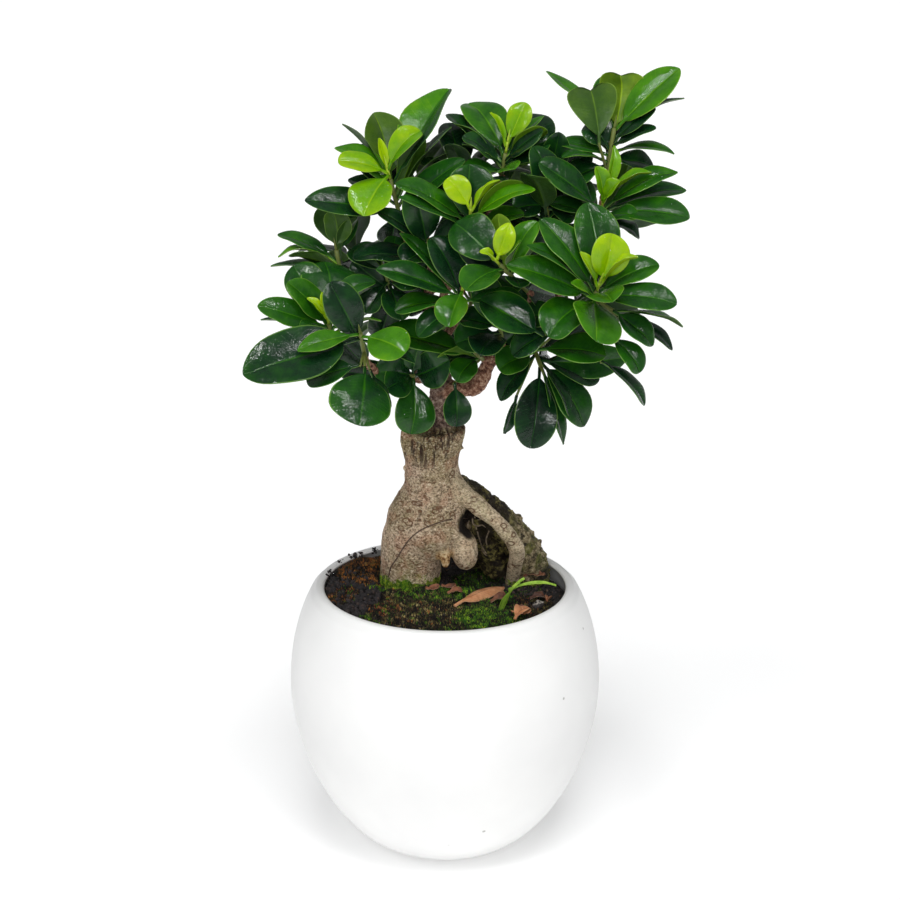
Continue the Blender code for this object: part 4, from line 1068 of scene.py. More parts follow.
def fine_leaf(build, leaf, tone, draw, notch=0.0):
    """Adds a leaf with a round petiole, a midrib, halves that bulge and a wavy margin."""
    bend = math.radians(leaf.arch)
    radius = leaf.length / (2 * math.sin(bend / 2))
    side = leaf.along.cross(leaf.normal)
    fold = math.radians(leaf.fold if leaf.fold else draw.uniform(*FOLD_DEGREES))
    slender = min(max(leaf.length / leaf.width - 1.3, 0) / 1.4, 1)
    base_taper = NOTCHED_BASE if notch else draw.uniform(*BASE_TAPER)
    tip_taper = NOTCHED_TIP if notch else BLUNT_TIP + SLENDER_TIP * slender + draw.uniform(*TIP_CHANCE)
    pucker = draw.uniform(*PUCKER)
    pucker_shift = Vector((draw.uniform(0, ELSEWHERE), 0, 0))
    bulge = draw.uniform(*BULGE)
    wave = draw.uniform(*WAVE) * min(1.3, leaf.width / 15)
    turns = draw.uniform(*WAVE_COUNT)
    sway = draw.uniform(-SWAY, SWAY) * leaf.length
    twist = math.radians(draw.uniform(-TWIST_DEGREES, TWIST_DEGREES))
    uneven = draw.uniform(-UNEVEN, UNEVEN)
    fold_gap = math.radians(draw.uniform(-FOLD_GAP_DEGREES, FOLD_GAP_DEGREES))
    phase = draw.uniform(0, TURN)
    curl = draw.uniform(*CURL)
    age = draw.random()
    halves = tone if isinstance(tone, tuple) else (tone, tone)
    verts, place, tones = [], [], []
    rows = leaf_rows()
    for t in rows:
        angle = (t - 0.5) * bend
        u = max((t - PETIOLE_SHARE) / (1 - PETIOLE_SHARE), 0.0)
        broad = fine_outline(u, base_taper, tip_taper)
        blade_share = soft_step(0.0, 0.12, u)
        half = max(PETIOLE_RADIUS, broad * leaf.width / 2)
        centre = leaf.root + leaf.along * (leaf.length / 2 + radius * math.sin(angle))
        centre = centre + leaf.normal * (radius * (math.cos(angle) - math.cos(bend / 2)))
        centre = centre + side * (sway * 4 * t * (1 - t))
        ahead = leaf.along * math.cos(angle) - leaf.normal * math.sin(angle)
        flat_normal = leaf.normal * math.cos(angle) + leaf.along * math.sin(angle)
        turn = twist * (t - 0.3)
        normal = flat_normal * math.cos(turn) - side * math.sin(turn)
        across = side * math.cos(turn) + flat_normal * math.sin(turn)
        for sign in (1, -1):
            for s in LEAF_COLUMNS:
                reach = abs(s) * half * (1 + math.copysign(uneven, s) * blade_share)
                own_fold = fold + math.copysign(fold_gap, s)
                lift = reach * math.sin(own_fold) * blade_share
                lift += bulge * half * (abs(s) - s * s) * blade_share
                own_phase = phase + (OTHER_MARGIN if s < 0 else 0)
                ripple = wave * s * s * broad * math.sin(turns * TURN * t + own_phase)
                tip_curl = -curl * soft_step(0.72, 1.0, t)
                stalk = PETIOLE_RADIUS * math.sqrt(max(1 - s * s, 0))
                flat = BLADE_HALF * (1 - 0.75 * s**4)
                rib_height, rib_reach = RIB_UNDER if sign < 0 else RIB_ABOVE
                rib = rib_height * math.exp(-((reach / rib_reach) ** 2)) * (1 - 0.7 * u)
                thick = stalk * (1 - blade_share) + (flat + rib) * blade_share
                out = lift + ripple + tip_curl + sign * thick
                dimple = noise.noise(Vector((t * 7, s * 2.2, 0)) + pucker_shift)
                out += pucker * blade_share * leaf.width / 12 * dimple
                sideways = math.copysign(reach, s) * (1 - blade_share * (1 - math.cos(own_fold)))
                dent = -notch * math.exp(-((s / 0.4) ** 2)) * soft_step(0.8, 1.0, t)
                verts.append(centre + across * sideways + normal * out + ahead * dent)
                place.append((t, s, sign))
                tones.append((halves[0] if s < 0 else halves[1], age, phase / TURN))
    angle = 0.5 * bend
    tip = leaf.root + leaf.along * leaf.length
    normal = leaf.normal * math.cos(angle) + leaf.along * math.sin(angle)
    tip = tip - normal * curl - leaf.along * notch
    for sign in (1, -1):
        verts.append(tip + normal * (0.1 * sign))
        place.append((1, 0, sign))
        tones.append(tones[-1])
    build.add(verts, leaf_faces(len(rows)), 0, place, tones)


def leaf_faces(row_count):
    """Faces of a fine leaf: rows of its upper and under points, then the two points of its tip."""
    n = len(LEAF_COLUMNS)
    last = row_count - 1
    top_tip, under_tip = 2 * n * row_count, 2 * n * row_count + 1
    faces = []
    for i in range(last):
        a, b = i * 2 * n, (i + 1) * 2 * n
        for k in range(n - 1):
            faces.append((a + k, b + k, b + k + 1, a + k + 1))
            faces.append((a + n + k, a + n + k + 1, b + n + k + 1, b + n + k))
        faces.append((a, a + n, b + n, b))
        faces.append((a + n - 1, b + n - 1, b + 2 * n - 1, a + 2 * n - 1))
    end = last * 2 * n
    for k in range(n - 1):
        faces.append((end + k, top_tip, end + k + 1))
        faces.append((end + n + k, end + n + k + 1, under_tip))
    faces.append((end, end + n, under_tip, top_tip))
    faces.append((end + n - 1, top_tip, under_tip, end + 2 * n - 1))
    faces += [(k, k + 1, n + k + 1, n + k) for k in range(n - 1)]
    return faces


def grow(shoots, solids):
    """Every leaf of every node with its row of the table or None, bent clear of what stands before it."""
    draw = random.Random(SEED)
    wanted = []
    for shoot in shoots:
        below = TIP_STEM + 1.5 if shoot.young else 0.6
        length = (Vector(shoot.bud) - Vector(shoot.start)).length - below - 1
        young = set_on_stem(shoot, shoot.young, 0.8, TIP_STEM - 1.5, TIP_RADIUS)
        grown = set_on_stem(shoot, shoot.leaves, below, length, STEM_RADIUS)
        wanted += [("young_" + shoot.name, leaf, TABLE_LIMITS, row) for leaf, row in zip(young, shoot.young)]
        wanted += [("shoot_" + shoot.name, leaf, TABLE_LIMITS, row) for leaf, row in zip(grown, shoot.leaves)]
    for shoot in shoots:
        rule = [by_rule(shoot, i, draw) for i in range(shoot.fill)]
        wanted += [("shoot_" + shoot.name, leaf, RULE_LIMITS, None) for leaf in rule]
    obstacles = []
    nodes = {}
    for node, leaf, limits, row in wanted:
        found = fitted(leaf, node, obstacles, solids, *limits)
        if found:
            obstacles.append(obstacle(node, found))
            nodes.setdefault(node, []).append((found, row))
    return nodes


def stem_tubes(shoot):
    """The fine stem tubes of each node of a shoot, as points, with the pointed bud at its end."""
    bud = Vector(shoot.bud)
    axis = axis_of(shoot)
    stems_of = {"shoot_" + shoot.name: [stem_points(shoot, bool(shoot.young))]}
    spike = [(*bud, 0.85), (*(bud + axis * 2.5), 0.7), (*(bud + axis * 6), 0.12)]
    for leaf in shoot.leaves:
        if leaf.base:
            stems_of["shoot_" + shoot.name].append(side_twig(shoot, leaf))
    if shoot.young:
        stems_of["young_" + shoot.name] = [tip_points(shoot), spike]
    else:
        stems_of["shoot_" + shoot.name].append(spike)
    return stems_of


# Inner leaves: a pixel of the photograph that shows one, its distance behind the pot's axis, width, tone
INNER_LEAVES = (
    (382, 325, 6, 15, 0.10), (354, 371, 0, 14, 0.12), (351, 269, 12, 14, 0.08),
    (394, 235, 14, 14, 0.10), (427, 371, -2, 16, 0.14), (449, 360, 2, 14, 0.10),
    (521, 220, 14, 16, 0.12), (544, 354, 4, 15, 0.12), (579, 329, 6, 15, 0.10),
    (613, 357, -8, 16, 0.22), (577, 160, 14, 14, 0.12), (436, 366, -12, 18, 0.16),
    (389, 373, -14, 18, 0.18), (353, 352, -16, 15, 0.14), (530, 297, -4, 14, 0.10),
    (366, 271, 2, 14, 0.12), (508, 337, -8, 14, 0.12), (549, 243, 2, 14, 0.08),
    (549, 299, -6, 14, 0.10), (428, 267, 2, 14, 0.10), (553, 218, 6, 14, 0.10),
    (555, 147, 12, 13, 0.14), (396, 385, -14, 16, 0.18), (520, 205, 20, 16, 0.05),
    (505, 222, 20, 16, 0.06), (536, 190, 16, 15, 0.08), (556, 262, 8, 15, 0.07),
    (536, 250, 8, 15, 0.06), (415, 300, 6, 15, 0.08), (440, 345, 4, 15, 0.08),
    (543, 293, -12, 17, 0.08),
)
# Each grows from the place on a stem that lies most nearly at this reach, and ends beyond its pixel
INNER_REACH = 16.0
INNER_BEYOND = 8.0
LONGEST_INNER = 46.0
STEM_SHARES = (0.15, 0.4, 0.65)


def on_stem(shoot):
    """Places along a shoot's stem."""
    start, bud = Vector(shoot.start), Vector(shoot.bud)
    return [start.lerp(bud, share) for share in STEM_SHARES]


def inner_leaves():
    """Dark leaves between the shoots, each as (node, leaf, tone), grown from a stem near by."""
    found = []
    starts = [("shoot_" + shoot.name, place) for shoot in SHOOTS for place in on_stem(shoot)]
    for px, py, away, width, tone in INNER_LEAVES:
        ray = view_ray(px, py)
        target = Vector(CAMERA_PLACE) + ray * ((away - CAMERA_PLACE[1]) / ray.y)
        node, root = min(starts, key=lambda start: abs((start[1] - target).length - INNER_REACH))
        along = (target - root).normalized()
        shown = (-AWAY + along * AWAY.dot(along)).normalized()
        length = min((target - root).length + INNER_BEYOND, LONGEST_INNER)
        found.append((node, Placed(root, along, shown, length, width, 25, 8, 3), tone))
    return found


def foliage(home, looks):
    """Every shoot and every young tip as one piece of fine leaves on its stem."""
    wood_tree = tree_of(frame["nodes"]["wood"])
    placed_leaves = grow(SHOOTS, [("wood", wood_tree), *stem_trees(SHOOTS, home)])
    inner = inner_leaves()
    draw = random.Random(SEED + 2)
    for shoot in SHOOTS:
        for node, tubes in stem_tubes(shoot).items():
            young = node.startswith("young_")
            stem_tone = (0.9 if young else 0.45, 0.5, 0.5)
            build = Build()
            for leaf, row in placed_leaves[node]:
                tone = row.tone if row else draw.uniform(0.04, 0.28)
                fine_leaf(build, leaf, tone, draw, row.notch if row else 0)
            for owner, leaf, tone in inner:
                if owner == node:
                    fine_leaf(build, leaf, tone, draw)
            for points in tubes:
                slim = [(*point[:3], point[3] * SLIM) for point in points]
                build.add_tube(slim, 3, 8, 1, tone=stem_tone)
            made = new_mesh(node + "_leaves", build, [looks["leaf"], looks["stem"]], home)
            kept_in_box(made)
            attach(made, "root")
            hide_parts(node)


# Wood

VOXEL = 0.72
GRAFT_Z = 206.0
WOOD_SIDES = 20
TWIG_SIDES = 10
RIM_LUMPS = 30
# A flake of bark beside the cut, knobs, and warts on the back root: x, y, z and radius
BARK_FLAKE = ((-18.6, 3.5, 206.9, 1.3), (-18.9, 3.2, 202, 1.6), (-18.6, 3.5, 196, 1.4), (-17.8, 4, 191, 0.8))
KNOBS = ((8.3, 6, 197, 1.2), (-18.6, 6, 187, 1.2), (-18.3, 6, 182.5, 1.0))
WARTS = (
    (32.2, 18, 160.0, 1.5), (35.8, 19, 157.2, 1.7), (38.6, 19, 153.2, 1.2), (42.0, 20, 149.5, 1.3),
    (26.0, 17, 163.4, 1.1), (45.6, 21, 143.5, 1.4), (20.5, 15, 166.8, 1.2), (48.5, 22, 137.0, 1.2),
)
# The upper corner of the hollow under the arch, carved in and painted dark as shade
HOLLOW_TOP = Vector((14, 0, 160.5))
HOLLOW_REACH = Vector((6, 14, 5.5))
HOLLOW_DEPTH = 7.5
# Wood that joins the rounded root to the body above the nub
SHOULDER = ((-4, 2.5, 164, 6.6), (1, 1, 158.5, 7.4), (6, 0, 154, 7.4))
# How much less thick the big branch is, above the graft
BRANCH_SLIMMED = 0.9
# Heights between which the bark changes: ridges of the neck, its colour, red bark of the branches, the
# slimmer branch, the nub's end and the pale bulb. The green band is a height over the soil.
RIDGES_Z = (184, 198)
NECK_Z = (187, 196)
RED_Z = (228, 238)
SLIM_Z = (232, 238)
NUB_Z = (151, 147)
PALE_BULB_Z = (162, 156)
GREEN_BAND = (7.0, 1.5)
GROOVE_DEPTH = 1.3
# Splits in the bark of the neck
GROOVES = (
    ((-15.6, -1, 207, 0.5), (-16.1, -0.6, 199, 0.6), (-15.2, -1.6, 191, 0.3)),
    ((-11.6, -4, 203, 0.3), (-11, -4.6, 197, 0.6), (-11.6, -4.4, 192, 0.3)),
    ((-7, -5.4, 202, 0.3), (-6.2, -5.4, 196, 0.8), (-6.8, -5.2, 190, 0.3)),
    ((-2.4, -5.4, 203, 0.3), (-3, -5.4, 198, 0.5), (-2.6, -5.2, 193, 0.2)),
    ((5, -2.6, 201, 0.3), (5.4, -2.2, 196, 0.4), (5, -2.4, 190, 0.2)),
)
# Pixels of the photograph along its thin roots
HAIR_ROOTS = (
    ((388.4, 576.7), (391, 567), (397, 558), (403.6, 547.4), (410, 538.8), (421, 530), (436, 523.6),
     (451.3, 519.3), (468.6, 518.2)),
)
ROOTLETS = (
    ((472.5, 517.8), (473, 523.6), (477.3, 526), (482.1, 525), (485.5, 527.4)),
    ((469.2, 520.7), (467.8, 524), (467.9, 527.4)),
    ((475.9, 526.5), (478.8, 537), (482.1, 546.6), (486.9, 554.2)),
    ((481.1, 549.4), (485, 554.2), (487.4, 556.1)),
    ((474.4, 516.9), (478.3, 519.8), (484, 517.8)),
    ((489, 531), (486, 540), (488, 548)),
)
# Piece, its paths, radius and look
THIN_ROOTS = (
    ("hair_root", HAIR_ROOTS, 0.34, "rootlet_dark"),
    ("rootlets", ROOTLETS, 0.36, "rootlet_pale"),
)


def skin_distances(points, paths):
    """How far each point is from the nearest of some tubes."""
    best = np.full(len(points), 1000.0)
    for path in paths:
        rows = np.array(path, float)
        for a, b in zip(rows, rows[1:]):
            span = b[:3] - a[:3]
            share = np.clip((points - a[:3]) @ span / (span @ span), 0, 1)
            gap = points - a[:3] - share[:, None] * span
            best = np.minimum(best, np.sqrt((gap * gap).sum(axis=1)) - a[3] - share * (b[3] - a[3]))
    return best


def bark_relief(p, rough, mossy):
    """How far the bark stands out at a point, more on the branches and on the mossy back root."""
    smooth = 1 - max(rough, mossy)
    out = (0.25 + 0.6 * smooth) * noise.noise(p / 9)
    out += 0.16 * noise.noise(p / 2.2)
    out += smooth * 0.14 * noise.noise(Vector((p.x / 5, p.y / 5, p.z / 0.9)))
    neck = soft_step(*RIDGES_Z, p.z) * smooth
    out += neck * 0.75 * noise.noise(Vector((p.x / 1.6, p.y / 1.6, p.z / 12)))
    out += rough * (0.5 * noise.noise(p / 1.5) + 0.35 * noise.noise(p / 3.5))
    out += mossy * (0.8 * noise.noise(p / 2.6) + 0.6 * noise.noise(p / 1.3))
    return out


def rim_and_warts(build):
    """Adds the ragged rim of the cut, a flake of bark beside it, knobs and the warts of the back root."""
    draw = random.Random(SEED + 6)
    x, y, z, radius = CAUDEX[0][0]
    out = radius * 0.93
    for i in range(RIM_LUMPS):
        angle = 2 * math.pi * i / RIM_LUMPS
        place = (x + out * math.cos(angle), y + out * math.sin(angle), z + draw.uniform(-1, 0.9))
        lump(build, place, [draw.uniform(1.0, 2.2) for _ in range(3)], draw, (0, 0, 0), 2)
    build.add_tube(BARK_FLAKE, 3, TWIG_SIDES)
    for *place, size in (*KNOBS, *WARTS):
        lump(build, place, (size, size, size), draw, (0, 0, 0), 2)


def wood_skin(home, looks):
    """The root, graft and branches as one closed skin, still smooth."""
    build = Build()
    for points, resolution in wood_parts():
        build.add_tube(points, 4 if resolution else 3, WOOD_SIDES if resolution else TWIG_SIDES)
    build.add_tube(SHOULDER, 4, WOOD_SIDES)
    rim_and_warts(build)
    skin = new_mesh("wood_grown", build, [looks["bark"]], home)
    remesh = skin.modifiers.new("skin", "REMESH")
    remesh.mode = "VOXEL"
    remesh.voxel_size = VOXEL * MM
    soften = skin.modifiers.new("soften", "SMOOTH")
    soften.factor = 0.5
    soften.iterations = 2
    mesh = evaluated_mesh(skin)
    skin.modifiers.clear()
    skin.data = mesh
    return skin


def fine_wood(home, looks):
    """The wood with its bark relief, what kind of bark it has where, and painted shade in its hollow, its
    grooves and on the root behind the front roots.
    """
    skin = wood_skin(home, looks)
    mesh = skin.data
    points = np.array([v.co / MM for v in mesh.vertices])
    twigs = [twig_points(shoot) for shoot in SHOOTS]
    clean = skin_distances(points, (*CAUDEX, *ROOTS[:3]))
    back = skin_distances(points, ROOTS[3:])
    scion = skin_distances(points, TRUNK[:1])
    branch = skin_distances(points, (*TRUNK[1:], *twigs))
    nub_gap = skin_distances(points, ROOTS[1:2])
    groove_gap = skin_distances(points, GROOVES)
    arch_gap = skin_distances(points, ROOTS[2:3])
    bulb_gap = skin_distances(points, ROOTS[:1])
    thick_gap = skin_distances(points, TRUNK[1:2])
    kinds, where, shades = [], [], []
    normals = [v.normal.copy() for v in mesh.vertices]
    for i, (vert, normal) in enumerate(zip(mesh.vertices, normals)):
        p = Vector(points[i])
        uneven = 1.2 * noise.noise(p / 3)
        nearest = min(scion[i], branch[i])
        grafted = soft_step(-0.8, 0.8, min(clean[i], back[i]) - nearest + uneven)
        grafted = max(grafted, soft_step(GRAFT_Z + 1, GRAFT_Z + 3, p.z))
        reddish = max(soft_step(-0.6, 0.6, scion[i] - branch[i] + uneven), soft_step(*RED_Z, p.z))
        mossy = soft_step(-1.0, 1.0, clean[i] - back[i] + uneven) * (1 - grafted)
        # Painted shade: the back roots behind the front roots, under the arch, are painted near black
        painted_shade = soft_step(4, 9, p.y) * soft_step(2, 8, p.x) * soft_step(37, 30, p.x) if p.x < 37 else 0.0
        neck = soft_step(*NECK_Z, p.z) * (1 - grafted)
        above = p.z - ground(p.x, p.y)
        band = soft_step(*GREEN_BAND, above + 4 * noise.noise(p / 4)) if above < 11 else 0.0
        band *= 0.55 + 0.45 * soft_step(4, -2, p.x)
        off = Vector(a / b for a, b in zip(p - HOLLOW_TOP, HOLLOW_REACH))
        carved = HOLLOW_DEPTH * math.exp(-off.length_squared) * soft_step(0.4, 3.0, arch_gap[i])
        sunk = carved + GROOVE_DEPTH * soft_step(1.3, 0.1, groove_gap[i])
        sunk += BRANCH_SLIMMED * soft_step(2.0, 0.5, thick_gap[i]) * soft_step(*SLIM_Z, p.z)
        vert.co += normal * (bark_relief(p, grafted, mossy) + 0.1 - sunk) * MM
        # Painted shade: the deeper the bark is carved in, in the hollow and the grooves, the darker it is
        # painted
        dark = soft_step(0.8, 3.0, sunk)
        painted_shade = max(painted_shade * mossy, 2 * dark)
        nub = soft_step(2.6, 1.0, nub_gap[i]) * soft_step(*NUB_Z, p.z)
        kinds.append((grafted, max(reddish, nub), band * (1 - min(painted_shade, 1))))
        where.append((max(mossy, dark), neck, painted_shade))
        bulb_pale = 0.8 * soft_step(1.4, 0.4, bulb_gap[i]) * soft_step(*PALE_BULB_Z, p.z)
        pale = max(soft_step(1.4, 0.4, arch_gap[i]), bulb_pale)
        shades.append((pale * (1 - dark), 0, 0))
    set_values(mesh, "tone", kinds)
    set_values(mesh, "place", where)
    set_values(mesh, "shade", shades)
    mesh.materials.clear()
    mesh.materials.append(looks["bark"])
    mesh.shade_smooth()
    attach(skin, "root")
    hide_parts("wood")
    return skin


def hits(tree, pixels, height):
    """Places that far over a surface where the photograph's pixels show it."""
    found = []
    for px, py in pixels:
        ray = view_ray(px, py)
        place, _, _, _ = tree.ray_cast(Vector(CAMERA_PLACE), ray)
        found.append(place - ray * height)
    return found


def thin_roots(home, looks, tree):
    """The hair root that runs over the swollen root, and pale rootlets in the hollow under the arch."""
    for name, paths, radius, look in THIN_ROOTS:
        build = Build()
        for pixels in paths:
            path = [(*place, radius) for place in hits(tree, pixels, radius * 0.8)]
            path[-1] = (*path[-1][:3], radius * 0.4)
            build.add_tube(path, 4, 6)
        made = new_mesh(name, build, [looks[look]], home)
        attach(made, "root")


# Pot and soil

POT_SIDES = 144
SOIL_RINGS = 62
SOIL_SECTORS = 200
SOIL_EDGE = RIM_RADIUS - WALL - GAP
CRUMBS = 900
CRUMB_SIZES = (0.35, 1.15)
# The crumbs keep inside this share of the soil's radius
CRUMB_REACH = 0.985


def turned(build, profile, sides):
    """Adds a closed body from a profile of (radius, height) that starts and ends on the axis."""
    verts = [Vector((0, 0, profile[0][1])), Vector((0, 0, profile[-1][1]))]
    inner = profile[1:-1]
    for r, z in inner:
        for k in range(sides):
            angle = 2 * math.pi * k / sides
            verts.append(Vector((r * math.cos(angle), r * math.sin(angle), z)))
    faces = ring_faces(len(inner), sides, 2)
    last = 2 + (len(inner) - 1) * sides
    for k in range(sides):
        faces.append((0, 2 + (k + 1) % sides, 2 + k))
        faces.append((1, last + k, last + (k + 1) % sides))
    build.add(verts, faces)


def pot(home, looks):
    outer = outer_profile(0, 18)
    inner = [point for point in outer_profile(WALL, 12) if point[1] > FLOOR + 6]
    lip = [
        (RIM_RADIUS - WALL - 0.1, POT_HEIGHT - 1.8), (RIM_RADIUS - WALL + 0.15, POT_HEIGHT - 0.9),
        (RIM_RADIUS - WALL + 0.8, POT_HEIGHT - 0.25), (RIM_RADIUS - WALL + 1.8, POT_HEIGHT),
        (RIM_RADIUS - 1.8, POT_HEIGHT), (RIM_RADIUS - 0.7, POT_HEIGHT - 0.3),
        (RIM_RADIUS + 0.1, POT_HEIGHT - 1.1), (RIM_RADIUS + 0.6, POT_HEIGHT - 1.9),
    ]
    foot = [(FOOT_RADIUS + 0.25, 0.25), (FOOT_RADIUS - 1.2, 0), (0, 0)]
    below_lip = [point for point in outer if point[1] < POT_HEIGHT - 2.4 and point[1] > 0.2]
    profile = [(0, FLOOR), (FOOT_RADIUS - 2, FLOOR), *inner[::-1], *lip, *below_lip, *foot]
    build = Build()
    turned(build, profile, POT_SIDES)
    made = new_mesh("pot_glazed", build, [looks["glaze"]], home)
    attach(made, "root")
    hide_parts("pot")
    return made


def crumbly(x, y):
    """Height of the soil with its crumbs."""
    p = Vector((x, y, 0))
    return ground(x, y) + 1.0 * noise.noise(p / 3.1) + 0.8 * noise.noise(p / 1.3)


def fine_soil(home, looks):
    build = Build()
    wall = [point for point in outer_profile(WALL + GAP + 0.1, 6) if FLOOR + 6 < point[1] < SOIL_LEVEL - 6]
    rings = [(SOIL_EDGE * i / SOIL_RINGS, SOIL_LEVEL) for i in range(SOIL_RINGS + 1)]
    turned(build, [*rings, *wall, (FOOT_RADIUS - 3, FLOOR + GAP), (0, FLOOR + GAP)], SOIL_SECTORS)
    for vert in build.verts:
        if vert.z > SOIL_LEVEL - 1:
            vert.z = crumbly(vert.x, vert.y)
    made = new_mesh("soil_crumbly", build, [looks["soil"]], home)
    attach(made, "root")
    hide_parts("soil")
    return made


def lump(build, centre, size, draw, tone, detail=1, rough=0.35):
    """Adds an uneven lump."""
    shape = bmesh.new()
    bmesh.ops.create_icosphere(shape, subdivisions=detail, radius=1)
    turn = Quaternion((draw.uniform(-1, 1), draw.uniform(-1, 1), draw.uniform(-1, 1), draw.uniform(0.2, 1)))
    turn.normalize()
    shift = Vector((draw.uniform(0, ELSEWHERE), draw.uniform(0, ELSEWHERE), 0))
    verts = []
    for vert in shape.verts:
        scale = 1 + rough * noise.noise(vert.co * 1.4 + shift)
        p = Vector((vert.co.x * size[0], vert.co.y * size[1], vert.co.z * size[2])) * scale
        verts.append(Vector(centre) + turn @ p)
    faces = [tuple(v.index for v in face.verts) for face in shape.faces]
    shape.free()
    build.add(verts, faces, 0, (0, 0, 1), tone)


def crumbs(home, looks):
    """Loose crumbs of peat and bark all over the soil."""
    draw = random.Random(SEED + 3)
    build = Build()
    for _ in range(CRUMBS):
        angle = draw.uniform(0, 2 * math.pi)
        r = SOIL_EDGE * math.sqrt(draw.random()) * CRUMB_REACH
        x, y = r * math.cos(angle), r * math.sin(angle)
        size = draw.uniform(*CRUMB_SIZES)
        z = ground(x, y) + 0.3 * size
        spread = (size, size * draw.uniform(0.5, 1), size * draw.uniform(0.4, 0.9))
        lump(build, (x, y, z), spread, draw, (draw.random(), draw.random(), 0))
    made = new_mesh("soil_crumbs", build, [looks["crumb"]], home)
    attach(made, "root")


# Moss and litter

# Size of a clump of moss of one colour
CLUMP = 1.4
CAP_RINGS = 12
CAP_SECTORS = 56
# A cap reaches a little beyond its patch, and lies under the tufts' feet and under the soil
CAP_REACH = 1.12
CAP_UNDER_TUFTS = 0.5
CAP_UNDER_SOIL = 0.6
CAP_THICKNESS = 1.5
TUFT_HEIGHTS = (1.0, 2.2)
TUFT_LEAN = 0.45
TUFT_SUNK = 0.8
# Chance that a tuft has the colour of its clump, and that one on bare soil is left out
CLUMP_CHANCE = 0.8
BARE_CHANCE = 0.75
# The moss round the cushions stays below this height
RIM_MOSS_Z = 150.0
# Cushions that only the looks have, as those of the CAD model
MORE_MOSS = {
    "moss_orange": (((-41, 25), (15, 18), 4.2), ((-30, 33), (12, 12), 3.4), ((-49, -12), (7.5, 9), 2.0)),
    "moss_front": (((3, -39), (26, 14), 2.6), ((41, -18), (13, 18), 1.6), ((-4, -18), (15, 11), 2.8)),
}
ALL_MOSS = {**MOSS, **MORE_MOSS}
TUFTS = {"moss_green": 24000, "moss_brown": 20000, "moss_orange": 16000, "moss_front": 14000}
# Shares of the places on the moss colour ramp in each kind of moss
MIXES = {
    "bare": ((0.0, 0.85), (0.1, 0.12), (0.37, 0.03)),
    "orange": ((0.0, 0.16), (0.12, 0.16), (0.25, 0.14), (0.5, 0.36), (0.62, 0.18)),
    "russet": ((0.0, 0.25), (0.12, 0.25), (0.62, 0.24), (0.5, 0.1), (0.37, 0.06), (0.82, 0.1)),
    "brown": ((0.0, 0.26), (0.12, 0.25), (0.25, 0.24), (0.37, 0.1), (0.55, 0.04), (0.72, 0.06), (0.84, 0.05)),
    "green": ((0.0, 0.08), (0.72, 0.34), (0.82, 0.34), (0.92, 0.18), (1.0, 0.06)),
    "mixed": ((0.0, 0.2), (0.12, 0.16), (0.25, 0.12), (0.72, 0.24), (0.82, 0.18), (0.92, 0.1)),
    # Painted shade: the darkest colours, for the moss in the shade under the arch and behind the front roots
    "dark": ((0.0, 0.45), (0.72, 0.4), (0.8, 0.15)),
    "humus": ((0.0, 0.35), (0.12, 0.33), (0.62, 0.12), (0.25, 0.12), (0.72, 0.08)),
    "leg": ((0.0, 0.1), (0.72, 0.4), (0.82, 0.35), (0.92, 0.15)),
    "fringe": ((0.8, 0.2), (0.92, 0.45), (1.0, 0.35)),
}
# Kinds of moss by place in millimetres: centre and half size of an ellipse, the first that holds it counts
ZONES = (
    ("fringe", (-25, -2), (13, 4)),
    ("russet", (-29, -29), (8, 7)),
    ("russet", (-49, -12), (8, 10)),
    ("orange", (-38, 21), (15, 23)),
    ("bare", (-42, -8), (14, 26)),
    ("green", (20, -34), (16, 12)),
    ("green", (6, -7), (10, 8)),
    ("humus", (47, -10), (13, 21)),
    ("mixed", (-8, -10), (16, 9)),
    # Painted shade: the moss under the arch and behind the front roots
    ("dark", (20, 8), (22, 22)),
    ("brown", (-13, -26), (22, 24)),
)
# Pixels of the photograph with bare crumbs: centre, half size, count, sizes in millimetres
CRUMB_PATCHES = (
    ((353, 593), (27, 26), 1500, (0.5, 1.6)),
    ((340, 560), (4, 3), 10, (0.4, 1.0)),
    ((356, 555.5), (8, 4), 26, (0.4, 1.1)),
    ((375, 551), (4, 3), 10, (0.4, 0.9)),
    ((329, 573), (4, 4), 16, (0.4, 1.0)),
    ((440, 580), (14, 8), 220, (0.35, 1.0)),
    ((530, 592), (30, 14), 420, (0.35, 1.1)),
    ((400, 620), (60, 8), 420, (0.3, 0.8)),
)
# Pixel of the photograph, turn in degrees, length, width, arch and tone of curled bits
LITTER_BITS = (
    (433, 589, 20, 7.0, 4.6, -70, 0.3),
    (449, 588, -12, 7.5, 4.6, -60, 0.28),
    (531, 578, 10, 7.0, 4.5, 80, 0.3),
    (537, 575, 160, 7.5, 4.5, -70, 0.35),
    (538, 600, 10, 8.0, 5.5, 50, 0.1),
    (520, 618, 60, 10.5, 8.0, 90, 0.62),
    (521, 613, 15, 9.5, 6.5, -60, 0.6),
    (500, 602, 25, 10.0, 6.0, 40, 0.2),
)


def cushion_height(name, x, y):
    """Height of the moss of one node at a place, or None outside it."""
    best = None
    for (cx, cy), (width, depth), height in ALL_MOSS[name]:
        share = 1 - ((x - cx) / width) ** 2 - ((y - cy) / depth) ** 2
        share += 0.25 * noise.noise(Vector((x, y, 7)) / 5)
        if share > 0:
            found = ground(x, y) + height * math.sqrt(share)
            best = found if best is None else max(best, found)
    return best


def on_ellipse(centre, half, reach, angle):
    """A place at an angle, and at a share of the way out from the centre to the rim of an ellipse."""
    return centre[0] + half[0] * reach * math.cos(angle), centre[1] + half[1] * reach * math.sin(angle)


def kind_at(x, y):
    """The kind of moss at a place."""
    jitter = Vector((x, y, 2)) / 3
    x, y = x + 3 * noise.noise(jitter), y + 3 * noise.noise(jitter + Vector((9, 0, 0)))
    for kind, (cx, cy), (width, depth) in ZONES:
        if ((x - cx) / width) ** 2 + ((y - cy) / depth) ** 2 < 1:
            return kind
    return "mixed"


